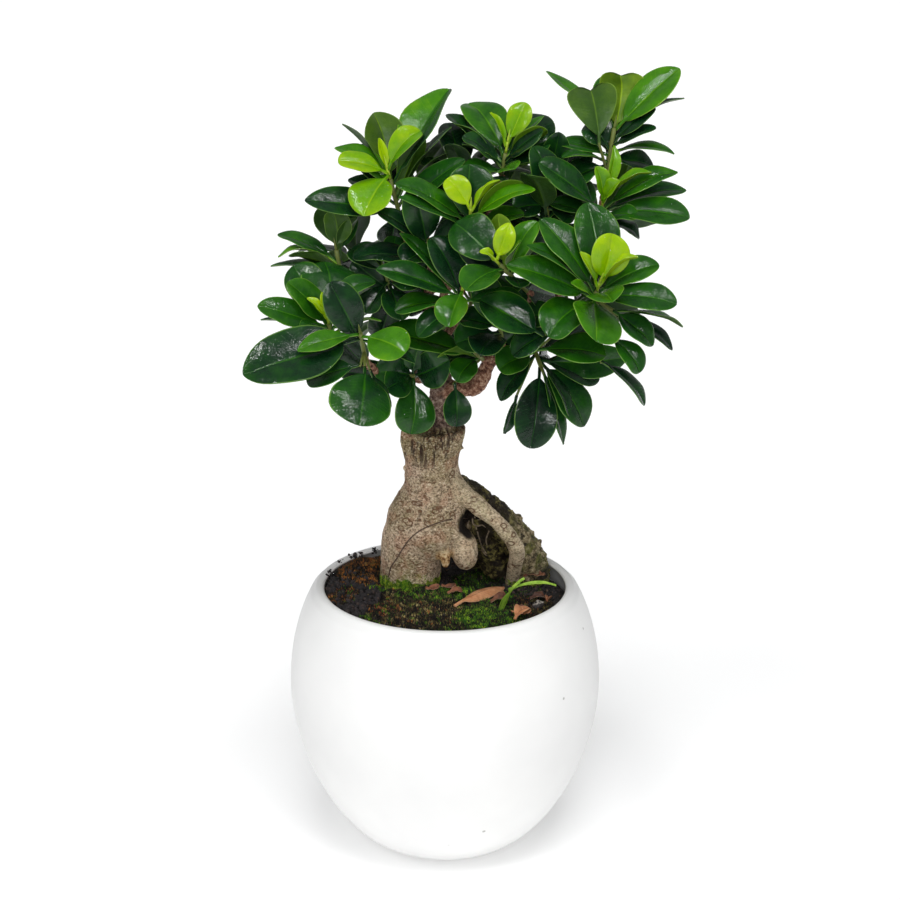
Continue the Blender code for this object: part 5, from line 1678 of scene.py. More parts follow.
def picked(kind, place, draw):
    """A tuft's colour and lightness, mostly those of the clump that it stands in."""
    places, shares = zip(*MIXES[kind])
    where = Vector((*place, 0)) / CLUMP
    own = noise.cell(where + noise.noise_vector(where) * 0.7)
    chance = own if draw.random() < CLUMP_CHANCE else draw.random()
    total = 0.0
    for colour, share in zip(places, shares):
        total += share
        if chance < total:
            break
    light = 0.7 * noise.cell(where * 0.8 + Vector((0, 0, 5))) + 0.3 * draw.random()
    return colour + draw.gauss(0, 0.015), 0.12 + 1.75 * light * light


def tuft(build, foot, up, height, draw, tone):
    """Adds one pointed leaf of moss as a thin closed spike."""
    lean = Vector((draw.gauss(0, TUFT_LEAN), draw.gauss(0, TUFT_LEAN), 0))
    top = foot + (up + lean).normalized() * height
    side = up.orthogonal().normalized()
    side.rotate(Quaternion(up, draw.uniform(0, TURN)))
    other = up.cross(side)
    r = height * 0.16 + 0.05
    left, right = other * 0.87 - side * 0.5, other * 0.87 + side * 0.5
    verts = [foot + side * r, foot + left * r, foot - right * r, top]
    # The third value is the height up the tuft, which the moss look uses for painted shade at its foot
    low, high = (tone[0], tone[1], 0.0), (tone[0], tone[1], 1.0)
    build.add(verts, [(0, 1, 3), (1, 2, 3), (2, 0, 3), (2, 1, 0)], 0, (0, 0, 1), [low, low, low, high])


def cap(build, name, centre, half):
    """Adds the solid cushion under the tufts of one patch, sunk into the soil at its edge."""
    top, under = [], []
    for i in range(CAP_RINGS + 1):
        for k in range(CAP_SECTORS):
            angle = 2 * math.pi * k / CAP_SECTORS
            reach = CAP_REACH * i / CAP_RINGS
            x, y = on_ellipse(centre, half, reach, angle)
            height = cushion_height(name, x, y)
            soil = ground(x, y) - CAP_UNDER_SOIL
            top.append(Vector((x, y, soil if height is None else max(height - CAP_UNDER_TUFTS, soil))))
            under.append(Vector((x, y, soil - CAP_THICKNESS)))
    count = len(top)
    faces = []
    for a, b, c, d in ring_faces(CAP_RINGS + 1, CAP_SECTORS):
        faces += [(a, b, c, d), (count + d, count + c, count + b, count + a)]
    edge = CAP_RINGS * CAP_SECTORS
    for k in range(CAP_SECTORS):
        a, b = edge + k, edge + (k + 1) % CAP_SECTORS
        faces.append((a, b, count + b, count + a))
    for vert in top + under:
        from_axis = math.hypot(vert.x, vert.y)
        if from_axis > SOIL_EDGE:
            vert.xy *= SOIL_EDGE / from_axis
    # The cushion gets a dark brown low on the tufts' height, so the painted shade at their foot covers it too
    build.add(top + under, faces, 0, (0, 0, 1), (0.03, 0.5, 0.3))


def moss(home, looks):
    """The moss cushions, each a solid cap under thousands of tufts."""
    for name, count in TUFTS.items():
        draw = random.Random(SEED + len(name) * 7)
        build = Build()
        cushions = ALL_MOSS[name]
        for centre, half, _ in cushions:
            cap(build, name, centre, half)
            for _ in range(count // len(cushions)):
                angle = draw.uniform(0, 2 * math.pi)
                reach = math.sqrt(draw.random()) * 1.05
                x, y = on_ellipse(centre, half, reach, angle)
                z = cushion_height(name, x, y)
                if z is None or math.hypot(x, y) > SOIL_EDGE - 0.8:
                    continue
                if name != "moss_green" and (cushion_height("moss_green", x, y) or 0) > z:
                    continue
                kind = kind_at(x, y)
                if kind == "bare" and draw.random() < BARE_CHANCE:
                    continue
                tall = draw.uniform(*TUFT_HEIGHTS)
                foot = Vector((x, y, z - TUFT_SUNK))
                tuft(build, foot, Vector((0, 0, 1)), tall, draw, picked(kind, (x, y), draw))
        made = new_mesh(name + "_tufts", build, [looks["moss"]], home)
        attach(made, "root")
        if name in MOSS:
            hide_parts(name)
        name if name in MOSS else "moss_brown"
        yield made


class Surface:
    """Wood, soil and pot as the camera of the photograph sees them, to lay small things on."""

    def __init__(self, pieces):
        verts, faces, self.owners = [], [], []
        for made in pieces:
            start = len(verts)
            verts += [v.co / MM for v in made.data.vertices]
            faces += [tuple(start + i for i in p.vertices) for p in made.data.polygons]
            self.owners += [made.name] * len(made.data.polygons)
        self.tree = BVHTree.FromPolygons(verts, faces)

    def at(self, px, py):
        """The place that a pixel shows, its outward direction and the piece it lies on."""
        ray = view_ray(px, py)
        place, normal, face, _ = self.tree.ray_cast(Vector(CAMERA_PLACE), ray)
        if place is None:
            return None, None, ""
        if normal.dot(ray) > 0:
            normal = -normal
        return place, normal, self.owners[face]


class Patch(NamedTuple):
    """Moss that the photograph shows round a pixel, on the pieces whose names start with on."""

    centre: tuple
    half: tuple
    count: int
    kind: str
    on: tuple
    tall: float = 1.3


PATCHES = {
    "moss_fringe": (
        Patch((384, 580), (7, 5), 520, "fringe", ("wood",), 1.0),
        Patch((406, 586), (6, 6), 620, "fringe", ("wood", "soil", "moss"), 1.7),
        Patch((394, 585), (15, 4), 500, "fringe", ("wood", "soil"), 1.0),
        Patch((416, 579), (19, 6), 900, "fringe", ("wood",), 0.7),
        Patch((431, 572), (7, 4), 160, "leg", ("wood",), 0.6),
        Patch((474, 566), (8, 5), 200, "fringe", ("wood",), 0.5),
    ),
    "moss_shaded": (
        # Painted shade: the moss under the arch in its darkest colours
        Patch((492, 572), (19, 18), 4200, "dark", ("soil", "moss")),
        Patch((472, 580), (24, 8), 1800, "leg", ("soil", "moss")),
        Patch((527, 594), (18, 9), 1500, "mixed", ("soil",)),
        Patch((430, 600), (30, 9), 2200, "mixed", ("soil",)),
        Patch((541, 561), (6, 16), 700, "leg", ("wood",), 0.7),
    ),
}


def placed_moss(home, looks, surface):
    """The thin moss round the cushions, tuft by tuft on what the photograph shows it on."""
    draw = random.Random(SEED + 7)
    for name, patches in PATCHES.items():
        build = Build()
        for patch in patches:
            for _ in range(patch.count):
                angle = draw.uniform(0, 2 * math.pi)
                reach = math.sqrt(draw.random()) * draw.uniform(0.8, 1.05)
                place, normal, owner = surface.at(*on_ellipse(patch.centre, patch.half, reach, angle))
                if not owner.startswith(patch.on) or place.z > RIM_MOSS_Z:
                    continue
                up = (normal + Vector((0, 0, 0.8))).normalized()
                tall = patch.tall * draw.uniform(0.6, 1.2)
                tuft(build, place - up * 0.3, up, tall, draw, picked(patch.kind, place.xy, draw))
        made = new_mesh(name, build, [looks["moss"]], home)
        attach(made, "root")


def placed_crumbs(home, looks, surface):
    """Coarse black soil where the photograph shows it bare, and crumbs on the inner wall behind it."""
    draw = random.Random(SEED + 8)
    build = Build()
    for centre, half, count, sizes in CRUMB_PATCHES:
        for _ in range(count):
            angle, reach = draw.uniform(0, 2 * math.pi), math.sqrt(draw.random())
            place, normal, owner = surface.at(*on_ellipse(centre, half, reach, angle))
            if not owner or owner.startswith("wood"):
                continue
            bare = not owner.startswith("moss") or kind_at(place.x, place.y) == "bare"
            if not bare and draw.random() > 0.12:
                continue
            if owner.startswith("pot") and (place.y < 0 or math.hypot(place.x, place.y) > RIM_RADIUS - 1):
                continue
            size = draw.uniform(*sizes)
            spread = (size, size * draw.uniform(0.5, 1), size * draw.uniform(0.4, 0.8))
            tone = (draw.uniform(0, 0.6), draw.random(), 0)
            lump(build, place + normal * size * 0.3, spread, draw, tone, 1, 0.7)
    made = new_mesh("soil_black_crumbs", build, [looks["crumb"]], home)
    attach(made, "root")


def square_to(along, towards):
    """The direction square to along that is nearest to towards."""
    return (towards - along * along.dot(towards)).normalized()


def flake(build, root, turn, length, width, arch, tone, draw, tilt=0.25):
    """Adds a small curled bit of dead leaf."""
    a = math.radians(turn)
    along = Vector((math.cos(a), math.sin(a), 0))
    normal = square_to(along, (Vector((0, 0, 1)) - AWAY * tilt).normalized())
    fine_leaf(build, Placed(root, along, normal, length, width, arch, 30, 3), tone, draw)


def placed_litter(home, looks, surface):
    """Curled bits of dead leaf beside those of the CAD model."""
    draw = random.Random(SEED + 9)
    build = Build()
    for px, py, turn, length, width, arch, tone in LITTER_BITS:
        place, _, owner = surface.at(px, py)
        if owner:
            a = math.radians(turn)
            root = place + Vector((-math.cos(a), -math.sin(a), 0)) * (length / 2) + Vector((0, 0, 1.2))
            flake(build, root, turn, length, width, arch, tone, draw, 0.5)
    made = new_mesh("litter_bits", build, [looks["dry"]], home)
    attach(made, "root")


def stone_and_chips(home, looks, draw):
    """The stone and the bits of bark, each where the CAD model has it."""
    for name, (_, (width, depth, height), turn) in LITTER.items():
        low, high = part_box(name)
        centre = (low + high) / 2 / MM
        stone = "stone" in name
        build = Build()
        if stone:
            lump(build, centre, (width / 2, depth / 2, height / 2), draw, (draw.random(), 0.5, 0), 3, 0.5)
        else:
            a = math.radians(turn)
            root = centre - Vector((math.cos(a), math.sin(a), 0)) * (width / 2)
            lower = root + Vector((0, 1.2, -0.6))
            flake(build, root, turn, width * 1.05, depth * 1.1, 80, 0.3, draw, 0.4)
            flake(build, lower, turn + 35, width * 0.8, depth * 0.9, -60, 0.1, draw, 0.2)
        made = new_mesh(name + "_rough", build, [looks["stone" if stone else "dry"]], home)
        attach(made, "root")
        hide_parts(name)


def dry_leaf(home, looks, draw):
    """The curled dry leaf, on the soil where the CAD model has it."""
    (bx, by), (ax, ay) = DRY_LEAF_ENDS
    low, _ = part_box("dry_leaf")
    along = Vector((bx - ax, by - ay, 0))
    length = along.length
    along.normalize()
    normal = square_to(along, Vector((0, 0, 1)) - AWAY * 0.5)
    root = Vector((ax, ay, low.z / MM + 1.8))
    build = Build()
    fine_leaf(build, Placed(root, along, normal, length, *DRY_LEAF_SHAPE, 3), 0.8, draw)
    made = new_mesh("dry_leaf_curled", build, [looks["dry"]], home)
    lift = low.z - min(v.co.z for v in made.data.vertices)
    for vert in made.data.vertices:
        vert.co.z += lift
    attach(made, "root")
    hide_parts("dry_leaf")


def grass(home, looks, draw):
    """The sprout: blades from a fork, on a stalk of several strands."""
    x, y = GRASS_ROOT
    foot, fork = Vector((x, y, ground(x, y) - 3)), Vector(GRASS_FORK)
    build = Build()
    for tip, width, arch in GRASS_TIPS:
        along = Vector(tip) - fork
        length = along.length
        along.normalize()
        normal = square_to(along, Vector((0, -0.5, 1)))
        blade_of_grass = Placed(fork - along * 1.5, along, normal, length + 1.5, width, arch, 24, 3)
        fine_leaf(build, blade_of_grass, 0.8, draw)
    for shift, radius in GRASS_STRANDS:
        low_place = foot + Vector((shift * 0.5, shift * 0.2, 0))
        middle = foot.lerp(fork, 0.55) + Vector((shift - 0.6, shift * 0.3, 0.8))
        stalk = [(*low_place, radius), (*middle, radius), (*fork, radius * 0.8)]
        build.add_tube(stalk, 5, 8, 0, (0.1, 0.5, 1), (0.7, 0.5, 0.5))
    made = new_mesh("grass_blades", build, [looks["grass"]], home)
    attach(made, "root")
    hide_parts("grass_sprout")


# Materials


class Nodes:
    """Short names for building a material."""

    def __init__(self, name):
        self.material = bpy.data.materials.new(name)
        self.material.use_nodes = True
        self.tree = self.material.node_tree
        self.shader = self.tree.nodes["Principled BSDF"]

    def node(self, kind, **values):
        made = self.tree.nodes.new(kind)
        for key, value in values.items():
            setattr(made, key, value)
        return made

    def link(self, source, target):
        self.tree.links.new(source, target)

    def put(self, target, value):
        if isinstance(value, bpy.types.NodeSocket):
            self.link(value, target)
        else:
            target.default_value = value

    def triple(self, name):
        """The three values of a named attribute."""
        return self.split(self.node("ShaderNodeAttribute", attribute_name=name).outputs["Vector"])

    def split(self, vector):
        made = self.node("ShaderNodeSeparateXYZ")
        self.link(vector, made.inputs[0])
        return made.outputs

    def spot(self, scale=(1000, 1000, 1000)):
        """The place on the piece in millimetres, stretched by a scale."""
        where = self.node("ShaderNodeTexCoord").outputs["Object"]
        made = self.node("ShaderNodeVectorMath", operation="MULTIPLY")
        self.link(where, made.inputs[0])
        made.inputs[1].default_value = scale
        return made.outputs[0]

    def noise(self, scale, detail=3.0, where=None, rough=0.5):
        made = self.node("ShaderNodeTexNoise")
        self.link(where or self.spot(), made.inputs["Vector"])
        made.inputs["Scale"].default_value = scale
        made.inputs["Detail"].default_value = detail
        made.inputs["Roughness"].default_value = rough
        return made.outputs["Fac"]

    def cells(self, scale, where=None, out="Distance", feature="F1"):
        made = self.node("ShaderNodeTexVoronoi", feature=feature)
        self.link(where or self.spot(), made.inputs["Vector"])
        made.inputs["Scale"].default_value = scale
        return made.outputs[out]

    def math(self, operation, a, b=0.0, c=0.0, clamp=False):
        made = self.node("ShaderNodeMath", operation=operation, use_clamp=clamp)
        for socket, value in zip(made.inputs, (a, b, c)):
            self.put(socket, value)
        return made.outputs[0]

    def times(self, a, b, clamp=False):
        return self.math("MULTIPLY", a, b, clamp=clamp)

    def times_plus(self, a, b, c):
        return self.math("MULTIPLY_ADD", a, b, c)

    def minus(self, a, b, clamp=False):
        return self.math("SUBTRACT", a, b, clamp=clamp)

    def patchy(self, scale, low, high):
        """A value between two that drifts over the surface."""
        return self.range(self.noise(scale), 0.3, 0.7, low, high)

    def range(self, value, low, high, to_low=0.0, to_high=1.0):
        made = self.node("ShaderNodeMapRange", interpolation_type="SMOOTHSTEP")
        for socket, number in zip(made.inputs, (value, low, high, to_low, to_high)):
            self.put(socket, number)
        return made.outputs[0]

    def ramp(self, value, stops):
        made = self.node("ShaderNodeValToRGB")
        self.link(value, made.inputs[0])
        points = made.color_ramp.elements
        while len(points) < len(stops):
            points.new(0.5)
        for point, (place, colour) in zip(points, stops):
            point.position = place
            point.color = (*colour, 1)
        return made.outputs[0]

    def mix(self, share, a, b):
        made = self.node("ShaderNodeMix", data_type="RGBA")
        self.put(made.inputs[0], share)
        for socket, value in ((made.inputs[6], a), (made.inputs[7], b)):
            self.put(socket, (*value, 1) if isinstance(value, tuple) else value)
        return made.outputs[2]

    def bump(self, height, strength, distance=0.0005):
        made = self.node("ShaderNodeBump")
        made.inputs["Strength"].default_value = strength
        made.inputs["Distance"].default_value = distance
        self.link(height, made.inputs["Height"])
        self.link(made.outputs[0], self.shader.inputs["Normal"])

    def finish(self, colour, roughness, **fixed):
        self.put(self.shader.inputs["Base Color"], colour)
        self.put(self.shader.inputs["Roughness"], roughness)
        for key, value in fixed.items():
            self.shader.inputs[key.replace("_", " ")].default_value = value
        return self.material


# Colours are linear, and a ramp is pairs of a place on it and the colour there. The first two are those
# of a leaf's upper side and underside, from near black to lime.
LEAF_TONES = (
    (0.0, (0.002, 0.010, 0.005)),
    (0.15, (0.004, 0.028, 0.007)),
    (0.35, (0.012, 0.080, 0.003)),
    (0.6, (0.050, 0.200, 0.002)),
    (0.8, (0.140, 0.330, 0.001)),
    (1.0, (0.310, 0.480, 0.001)),
)
UNDER_TONES = (
    (0.0, (0.008, 0.034, 0.008)),
    (0.35, (0.030, 0.085, 0.004)),
    (0.6, (0.085, 0.180, 0.003)),
    (1.0, (0.300, 0.460, 0.004)),
)
# Where each colour of moss and soil stands on the ramp that all moss shares
MOSS_COLOURS = (
    (0.0, (0.012, 0.010, 0.011)),
    (0.12, (0.085, 0.054, 0.030)),
    (0.25, (0.220, 0.180, 0.060)),
    (0.37, (0.560, 0.460, 0.200)),
    (0.5, (0.680, 0.250, 0.050)),
    (0.62, (0.360, 0.120, 0.050)),
    (0.72, (0.022, 0.085, 0.014)),
    (0.82, (0.105, 0.300, 0.018)),
    (0.92, (0.270, 0.500, 0.025)),
    (1.0, (0.520, 0.680, 0.050)),
)
# Leaves and stems
MARGIN_GREEN = (0.26, 0.42, 0.10)
SPRINKLE_WHITE = (0.62, 0.70, 0.64)
STEM_BROWN = (0.10, 0.075, 0.03)
STEM_GREEN = (0.05, 0.09, 0.02)
STEM_LIME = (0.36, 0.50, 0.03)
# Bark of the smooth root
ROOT_TONES = (
    (0.38, (0.36, 0.28, 0.15)),
    (0.5, (0.54, 0.41, 0.27)),
    (0.62, (0.68, 0.50, 0.36)),
)
NECK_OCHRE = (0.36, 0.29, 0.14)
BLUSH_RED = (0.42, 0.22, 0.13)
PALE_CREAM = (0.74, 0.63, 0.41)
FLECK_CREAM = (0.86, 0.76, 0.58)
SPECK_BROWN = (0.085, 0.050, 0.026)
GRIT_BROWN = (0.13, 0.085, 0.05)
RING_BROWN = (0.15, 0.07, 0.035)
PIT_DARK = (0.035, 0.022, 0.014)
SPLIT_DARK = (0.06, 0.035, 0.025)
# Bark of the mossy back root, and the near-black painted shade of the hollow with olive root in it
MOSSY_TONES = (
    (0.40, (0.035, 0.028, 0.018)),
    (0.5, (0.23, 0.18, 0.095)),
    (0.61, (0.58, 0.48, 0.30)),
)
FILM_OLIVE = (0.15, 0.16, 0.025)
DAMP_DARK = (0.035, 0.03, 0.028)
# Painted shade of the hollow, the grooves and the root behind the front roots
PAINTED_HOLLOW_SHADE = (0.016, 0.011, 0.008)
HOLLOW_OLIVE = (0.30, 0.26, 0.08)
# Bark of the scion, of the branches, of the nub under the arch, and its green film near the soil
SCION_TONES = (
    (0.38, (0.035, 0.021, 0.015)),
    (0.51, (0.18, 0.11, 0.085)),
    (0.62, (0.42, 0.32, 0.25)),
)
BRANCH_TONES = (
    (0.38, (0.065, 0.025, 0.017)),
    (0.51, (0.28, 0.13, 0.080)),
    (0.63, (0.62, 0.41, 0.28)),
)
NUB_TONES = (
    (0.4, (0.16, 0.07, 0.03)),
    (0.5, (0.55, 0.33, 0.14)),
    (0.62, (0.85, 0.68, 0.42)),
)
FILM_TONES = (
    (0.4, (0.03, 0.06, 0.01)),
    (0.5, (0.20, 0.27, 0.02)),
    (0.62, (0.46, 0.52, 0.10)),
)
# Thin roots, from dark to light
ROOTLET_DARK = ((0.05, 0.03, 0.02), (0.14, 0.09, 0.06))
ROOTLET_PALE = ((0.14, 0.10, 0.07), (0.42, 0.34, 0.24))
# Pot, soil, crumbs, moss and stone
GLAZE_TONES = (
    (0.3, (0.80, 0.80, 0.795)),
    (0.7, (0.86, 0.86, 0.85)),
)
GLAZE_SPECK = (0.30, 0.29, 0.27)
SOIL_TONES = (
    (0.35, (0.006, 0.005, 0.005)),
    (0.6, (0.028, 0.021, 0.018)),
    (0.75, (0.09, 0.06, 0.04)),
)
CRUMB_TONES = (
    (0.0, (0.006, 0.005, 0.006)),
    (0.45, (0.03, 0.024, 0.026)),
    (0.8, (0.09, 0.05, 0.035)),
    (1.0, (0.22, 0.14, 0.09)),
)
CRUMB_BLACK = (0.01, 0.008, 0.007)
# Painted shade at the foot of each tuft of moss
PAINTED_TUFT_FOOT_SHADE = (0.006, 0.006, 0.004)
STONE_TONES = (
    (0.38, (0.012, 0.010, 0.010)),
    (0.62, (0.05, 0.04, 0.038)),
)
STONE_DUST = (0.42, 0.38, 0.33)
# Dry leaves and grass
DRY_TONES = (
    (0.1, (0.07, 0.024, 0.013)),
    (0.4, (0.29, 0.105, 0.045)),
    (0.65, (0.50, 0.205, 0.085)),
    (1.0, (0.70, 0.36, 0.18)),
)
DRY_VEIN = (0.10, 0.04, 0.02)
DRY_RIB = (0.12, 0.05, 0.03)
DRY_RIM = (0.62, 0.46, 0.33)
GRASS_TONES = (
    (0.35, (0.17, 0.34, 0.02)),
    (0.65, (0.36, 0.56, 0.06)),
)
GRASS_STRIPE = (0.50, 0.66, 0.14)
GRASS_FOOT = (0.10, 0.20, 0.015)


def leaf_look():
    n = Nodes("leaf_surface")
    place = n.triple("place")
    tone = n.triple("tone")
    along, across = place[0], n.math("ABSOLUTE", place[1])
    upper = n.range(place[2], -0.3, 0.3)
    mottle = n.minus(n.noise(0.11, 5, rough=0.6), 0.5)
    shade = n.times_plus(mottle, 0.5, tone[0])
    shade = n.times_plus(n.math("POWER", across, 3.0), 0.06, shade)
    shade = n.times_plus(n.minus(along, 0.6), 0.10, shade)
    colour = n.mix(upper, n.ramp(shade, UNDER_TONES), n.ramp(shade, LEAF_TONES))
    slant = n.minus(n.times(along, 17.0), n.times(across, 2.2))
    vein = n.math("ABSOLUTE", n.minus(n.math("FRACT", slant), 0.5))
    vein = n.times(n.range(vein, 0.0, 0.09, 1.0, 0.0), n.range(n.noise(0.12, 2), 0.45, 0.65))
    lighter = n.math("ADD", shade, 0.26)
    lighter = n.mix(upper, n.ramp(lighter, UNDER_TONES), n.ramp(lighter, LEAF_TONES))
    colour = n.mix(n.times(vein, 0.22), colour, lighter)
    rib_edge = n.times_plus(along, -0.075, 0.10)
    midrib = n.minus(1.0, n.math("DIVIDE", across, rib_edge), clamp=True)
    rib_share = n.times(midrib, n.range(upper, 0.0, 1.0, 1.0, 0.7))
    colour = n.mix(rib_share, colour, lighter)
    margin = n.range(across, 0.94, 0.98)
    colour = n.mix(n.times(margin, 0.85), colour, n.mix(0.35, lighter, MARGIN_GREEN))
    dots = n.range(n.cells(0.32), 0.045, 0.085, 1.0, 0.0)
    spot = n.times(dots, n.range(n.noise(0.06, 2), 0.60, 0.66))
    colour = n.mix(n.times(n.times(spot, upper), 0.8), colour, SPRINKLE_WHITE)
    rough = n.range(n.noise(0.25, 3), 0.35, 0.65, 0.10, 0.24)
    rough = n.times_plus(n.minus(1.0, upper), 0.28, rough)
    height = n.times_plus(vein, -0.12, n.times(n.noise(1.8, 3), 0.3))
    height = n.times_plus(n.noise(0.30, 3), 1.1, height)
    n.bump(height, 0.6, 0.0005)
    return n.finish(colour, rough, Specular_IOR_Level=0.34)


def stem_look():
    n = Nodes("stem_surface")
    tone = n.triple("tone")
    old = n.mix(n.noise(0.7), STEM_BROWN, STEM_GREEN)
    colour = n.mix(n.range(tone[0], 0.3, 0.9), old, STEM_LIME)
    n.bump(n.noise(1.5), 0.4)
    return n.finish(colour, n.patchy(0.9, 0.45, 0.7))


def bark_look():
    n = Nodes("bark_surface")
    tone = n.triple("tone")
    place = n.triple("place")
    root = n.ramp(n.noise(0.06, 4), ROOT_TONES)
    root = n.mix(n.times(place[1], 0.7), root, NECK_OCHRE)
    blush = n.range(n.noise(0.14, 4), 0.5, 0.6, 0.0, 0.55)
    root = n.mix(blush, root, BLUSH_RED)
    pale = n.triple("shade")[0]
    root = n.mix(n.times(pale, 0.5), root, PALE_CREAM)
    flecks = n.noise(0.95, 5, n.spot((900, 900, 1250)), 0.7)
    root = n.mix(n.range(flecks, 0.36, 0.46, 0.75, 0.0), root, FLECK_CREAM)
    specks = n.times(n.range(flecks, 0.515, 0.585, 0.0, 0.85), n.times_plus(pale, -0.25, 1.0))
    root = n.mix(specks, root, SPECK_BROWN)
    grit = n.noise(0.38, 4, rough=0.6)
    root = n.mix(n.range(grit, 0.53, 0.66, 0.0, 0.55), root, GRIT_BROWN)
    warped = n.node("ShaderNodeVectorMath", operation="MULTIPLY_ADD")
    n.link(n.node("ShaderNodeTexCoord").outputs["Object"], warped.inputs[0])
    warped.inputs[1].default_value = (1000, 1000, 1500)
    n.link(n.noise(0.4, 3), warped.inputs[2])
    ring = n.math("ABSOLUTE", n.minus(n.cells(0.17, warped.outputs[0]), 0.3))
    ring = n.times(n.range(ring, 0.03, 0.10, 1.0, 0.0), n.range(n.noise(0.09, 2), 0.47, 0.56))
    root = n.mix(n.times(ring, 0.85), root, RING_BROWN)
    pits = n.range(n.cells(0.6, n.spot((1000, 1000, 1700))), 0.08, 0.2, 1.0, 0.0)
    pits = n.times(pits, n.range(n.noise(0.15), 0.42, 0.6, 0.2, 1.0))
    root = n.mix(pits, root, PIT_DARK)
    splits = n.range(n.noise(0.55, 5, n.spot((1000, 1000, 130)), 0.6), 0.50, 0.60)
    splits = n.times(splits, n.times(place[1], n.range(n.noise(0.08, 2), 0.38, 0.5)))
    root = n.mix(n.times(splits, 0.9), root, SPLIT_DARK)

    rough = n.noise(0.45, 6, rough=0.75)
    mossy = n.ramp(rough, MOSSY_TONES)
    mossy = n.mix(n.range(n.noise(0.15, 5), 0.50, 0.60, 0.0, 0.6), mossy, FILM_OLIVE)
    mossy = n.mix(n.range(n.noise(0.075, 3), 0.54, 0.62, 0.0, 0.9), mossy, DAMP_DARK)
    # Painted shade: near black where the place attribute marks the hollow, the grooves and the root behind
    # the front roots, with olive root showing in it
    olive = n.times(n.range(n.noise(0.13, 4), 0.44, 0.56), n.range(rough, 0.42, 0.58))
    olive = n.times(olive, n.minus(1.9, place[2], clamp=True))
    depth = n.mix(n.times(olive, 0.9), PAINTED_HOLLOW_SHADE, HOLLOW_OLIVE)
    mossy = n.mix(n.times(place[2], 0.92), mossy, depth)
    # place holds the mossy back root, and where the bark is carved in it paints the dark mossy bark there as
    # shade
    root = n.mix(place[0], root, mossy)
    scion = n.ramp(n.noise(0.45, 6, rough=0.7), SCION_TONES)
    branch = n.ramp(n.noise(0.6, 6, rough=0.72), BRANCH_TONES)
    wood = n.mix(tone[0], root, n.mix(tone[1], scion, branch))
    nub = n.times(tone[1], n.minus(1.0, tone[0]))
    twisted = n.ramp(n.noise(0.5, 5, rough=0.65), NUB_TONES)
    wood = n.mix(nub, wood, twisted)
    green = n.ramp(n.noise(0.6, 5, rough=0.65), FILM_TONES)
    cover = n.times_plus(n.minus(n.noise(0.35, 5), 0.5), 1.3, tone[2])
    colour = n.mix(n.range(cover, 0.42, 0.62), wood, green)
    height = n.times_plus(pits, -0.7, flecks)
    height = n.times_plus(splits, -1.2, height)
    height = n.times_plus(ring, -0.5, height)
    height = n.times_plus(grit, -1.0, height)
    n.bump(height, 1.0, 0.0012)
    return n.finish(colour, n.range(flecks, 0.3, 0.7, 0.95, 0.75), Specular_IOR_Level=0.3)


def rootlet_look(name, dark, light):
    n = Nodes(name + "_surface")
    colour = n.ramp(n.noise(0.8, 4), ((0.35, dark), (0.65, light)))
    n.bump(n.noise(2.0, 3), 0.4)
    return n.finish(colour, n.patchy(1.0, 0.9, 0.7))


def glaze_look():
    n = Nodes("glaze_surface")
    cloud = n.noise(0.02, 3)
    colour = n.ramp(cloud, GLAZE_TONES)
    specks = n.range(n.cells(0.045), 0.03, 0.045, 1.0, 0.0)
    colour = n.mix(n.times(specks, 0.7), colour, GLAZE_SPECK)
    n.bump(n.math("ADD", n.noise(0.05, 2), n.times(n.noise(1.2, 2), 0.05)), 0.12, 0.001)
    return n.finish(colour, n.range(n.noise(0.1, 3), 0.3, 0.7, 0.36, 0.46))


def soil_look():
    n = Nodes("soil_surface")
    grain = n.noise(0.9, 6, rough=0.75)
    colour = n.ramp(grain, SOIL_TONES)
    n.bump(grain, 1.0, 0.0015)
    return n.finish(colour, n.patchy(0.7, 0.95, 0.6))


def crumb_look():
    n = Nodes("crumb_surface")
    tone = n.triple("tone")
    colour = n.ramp(tone[0], CRUMB_TONES)
    colour = n.mix(n.range(n.noise(1.4, 4), 0.4, 0.65, 0.0, 0.5), colour, CRUMB_BLACK)
    n.bump(n.noise(2.2, 4), 0.7)
    return n.finish(colour, n.patchy(1.1, 0.95, 0.65))


def moss_look():
    """Moss whose tufts have each a colour of their own, with painted shade at the foot of each."""
    n = Nodes("moss_surface")
    tone = n.triple("tone")
    hue = n.ramp(tone[0], MOSS_COLOURS)
    # Painted shade: each tuft darker towards its foot, times its own lightness
    painted_foot_shade = n.times_plus(tone[2], 0.85, 0.15)
    light = n.times(painted_foot_shade, n.times_plus(tone[1], 0.9, 0.4), clamp=True)
    colour = n.mix(light, PAINTED_TUFT_FOOT_SHADE, hue)
    return n.finish(colour, n.patchy(1.0, 0.95, 0.75), Specular_IOR_Level=0.2)


def stone_look():
    n = Nodes("stone_surface")
    grain = n.noise(0.6, 6, rough=0.7)
    colour = n.ramp(grain, STONE_TONES)
    facing = n.split(n.node("ShaderNodeNewGeometry").outputs["Normal"])[2]
    pale = n.times(n.range(facing, 0.55, 0.9), n.range(grain, 0.40, 0.52))
    colour = n.mix(pale, colour, STONE_DUST)
    n.bump(grain, 0.8)
    return n.finish(colour, n.range(grain, 0.3, 0.7, 0.75, 0.5))


def dry_look():
    n = Nodes("dry_leaf_surface")
    place = n.triple("place")
    tone = n.triple("tone")
    across = n.math("ABSOLUTE", place[1])
    blotch = n.times_plus(n.minus(n.noise(0.22, 6, rough=0.65), 0.5), 1.3, tone[0])
    colour = n.ramp(blotch, DRY_TONES)
    slant = n.minus(n.times(place[0], 17.0), n.times(across, 2.6))
    vein = n.range(n.math("ABSOLUTE", n.minus(n.math("FRACT", slant), 0.5)), 0.0, 0.14, 1.0, 0.0)
    colour = n.mix(n.times(vein, 0.2), colour, DRY_VEIN)
    colour = n.mix(n.range(across, 0.02, 0.08, 0.6, 0.0), colour, DRY_RIB)
    colour = n.mix(n.range(across, 0.93, 0.99, 0.0, 0.5), colour, DRY_RIM)
    n.bump(n.math("ADD", vein, n.noise(0.6, 4)), 0.5)
    return n.finish(colour, n.patchy(0.5, 0.45, 0.7))


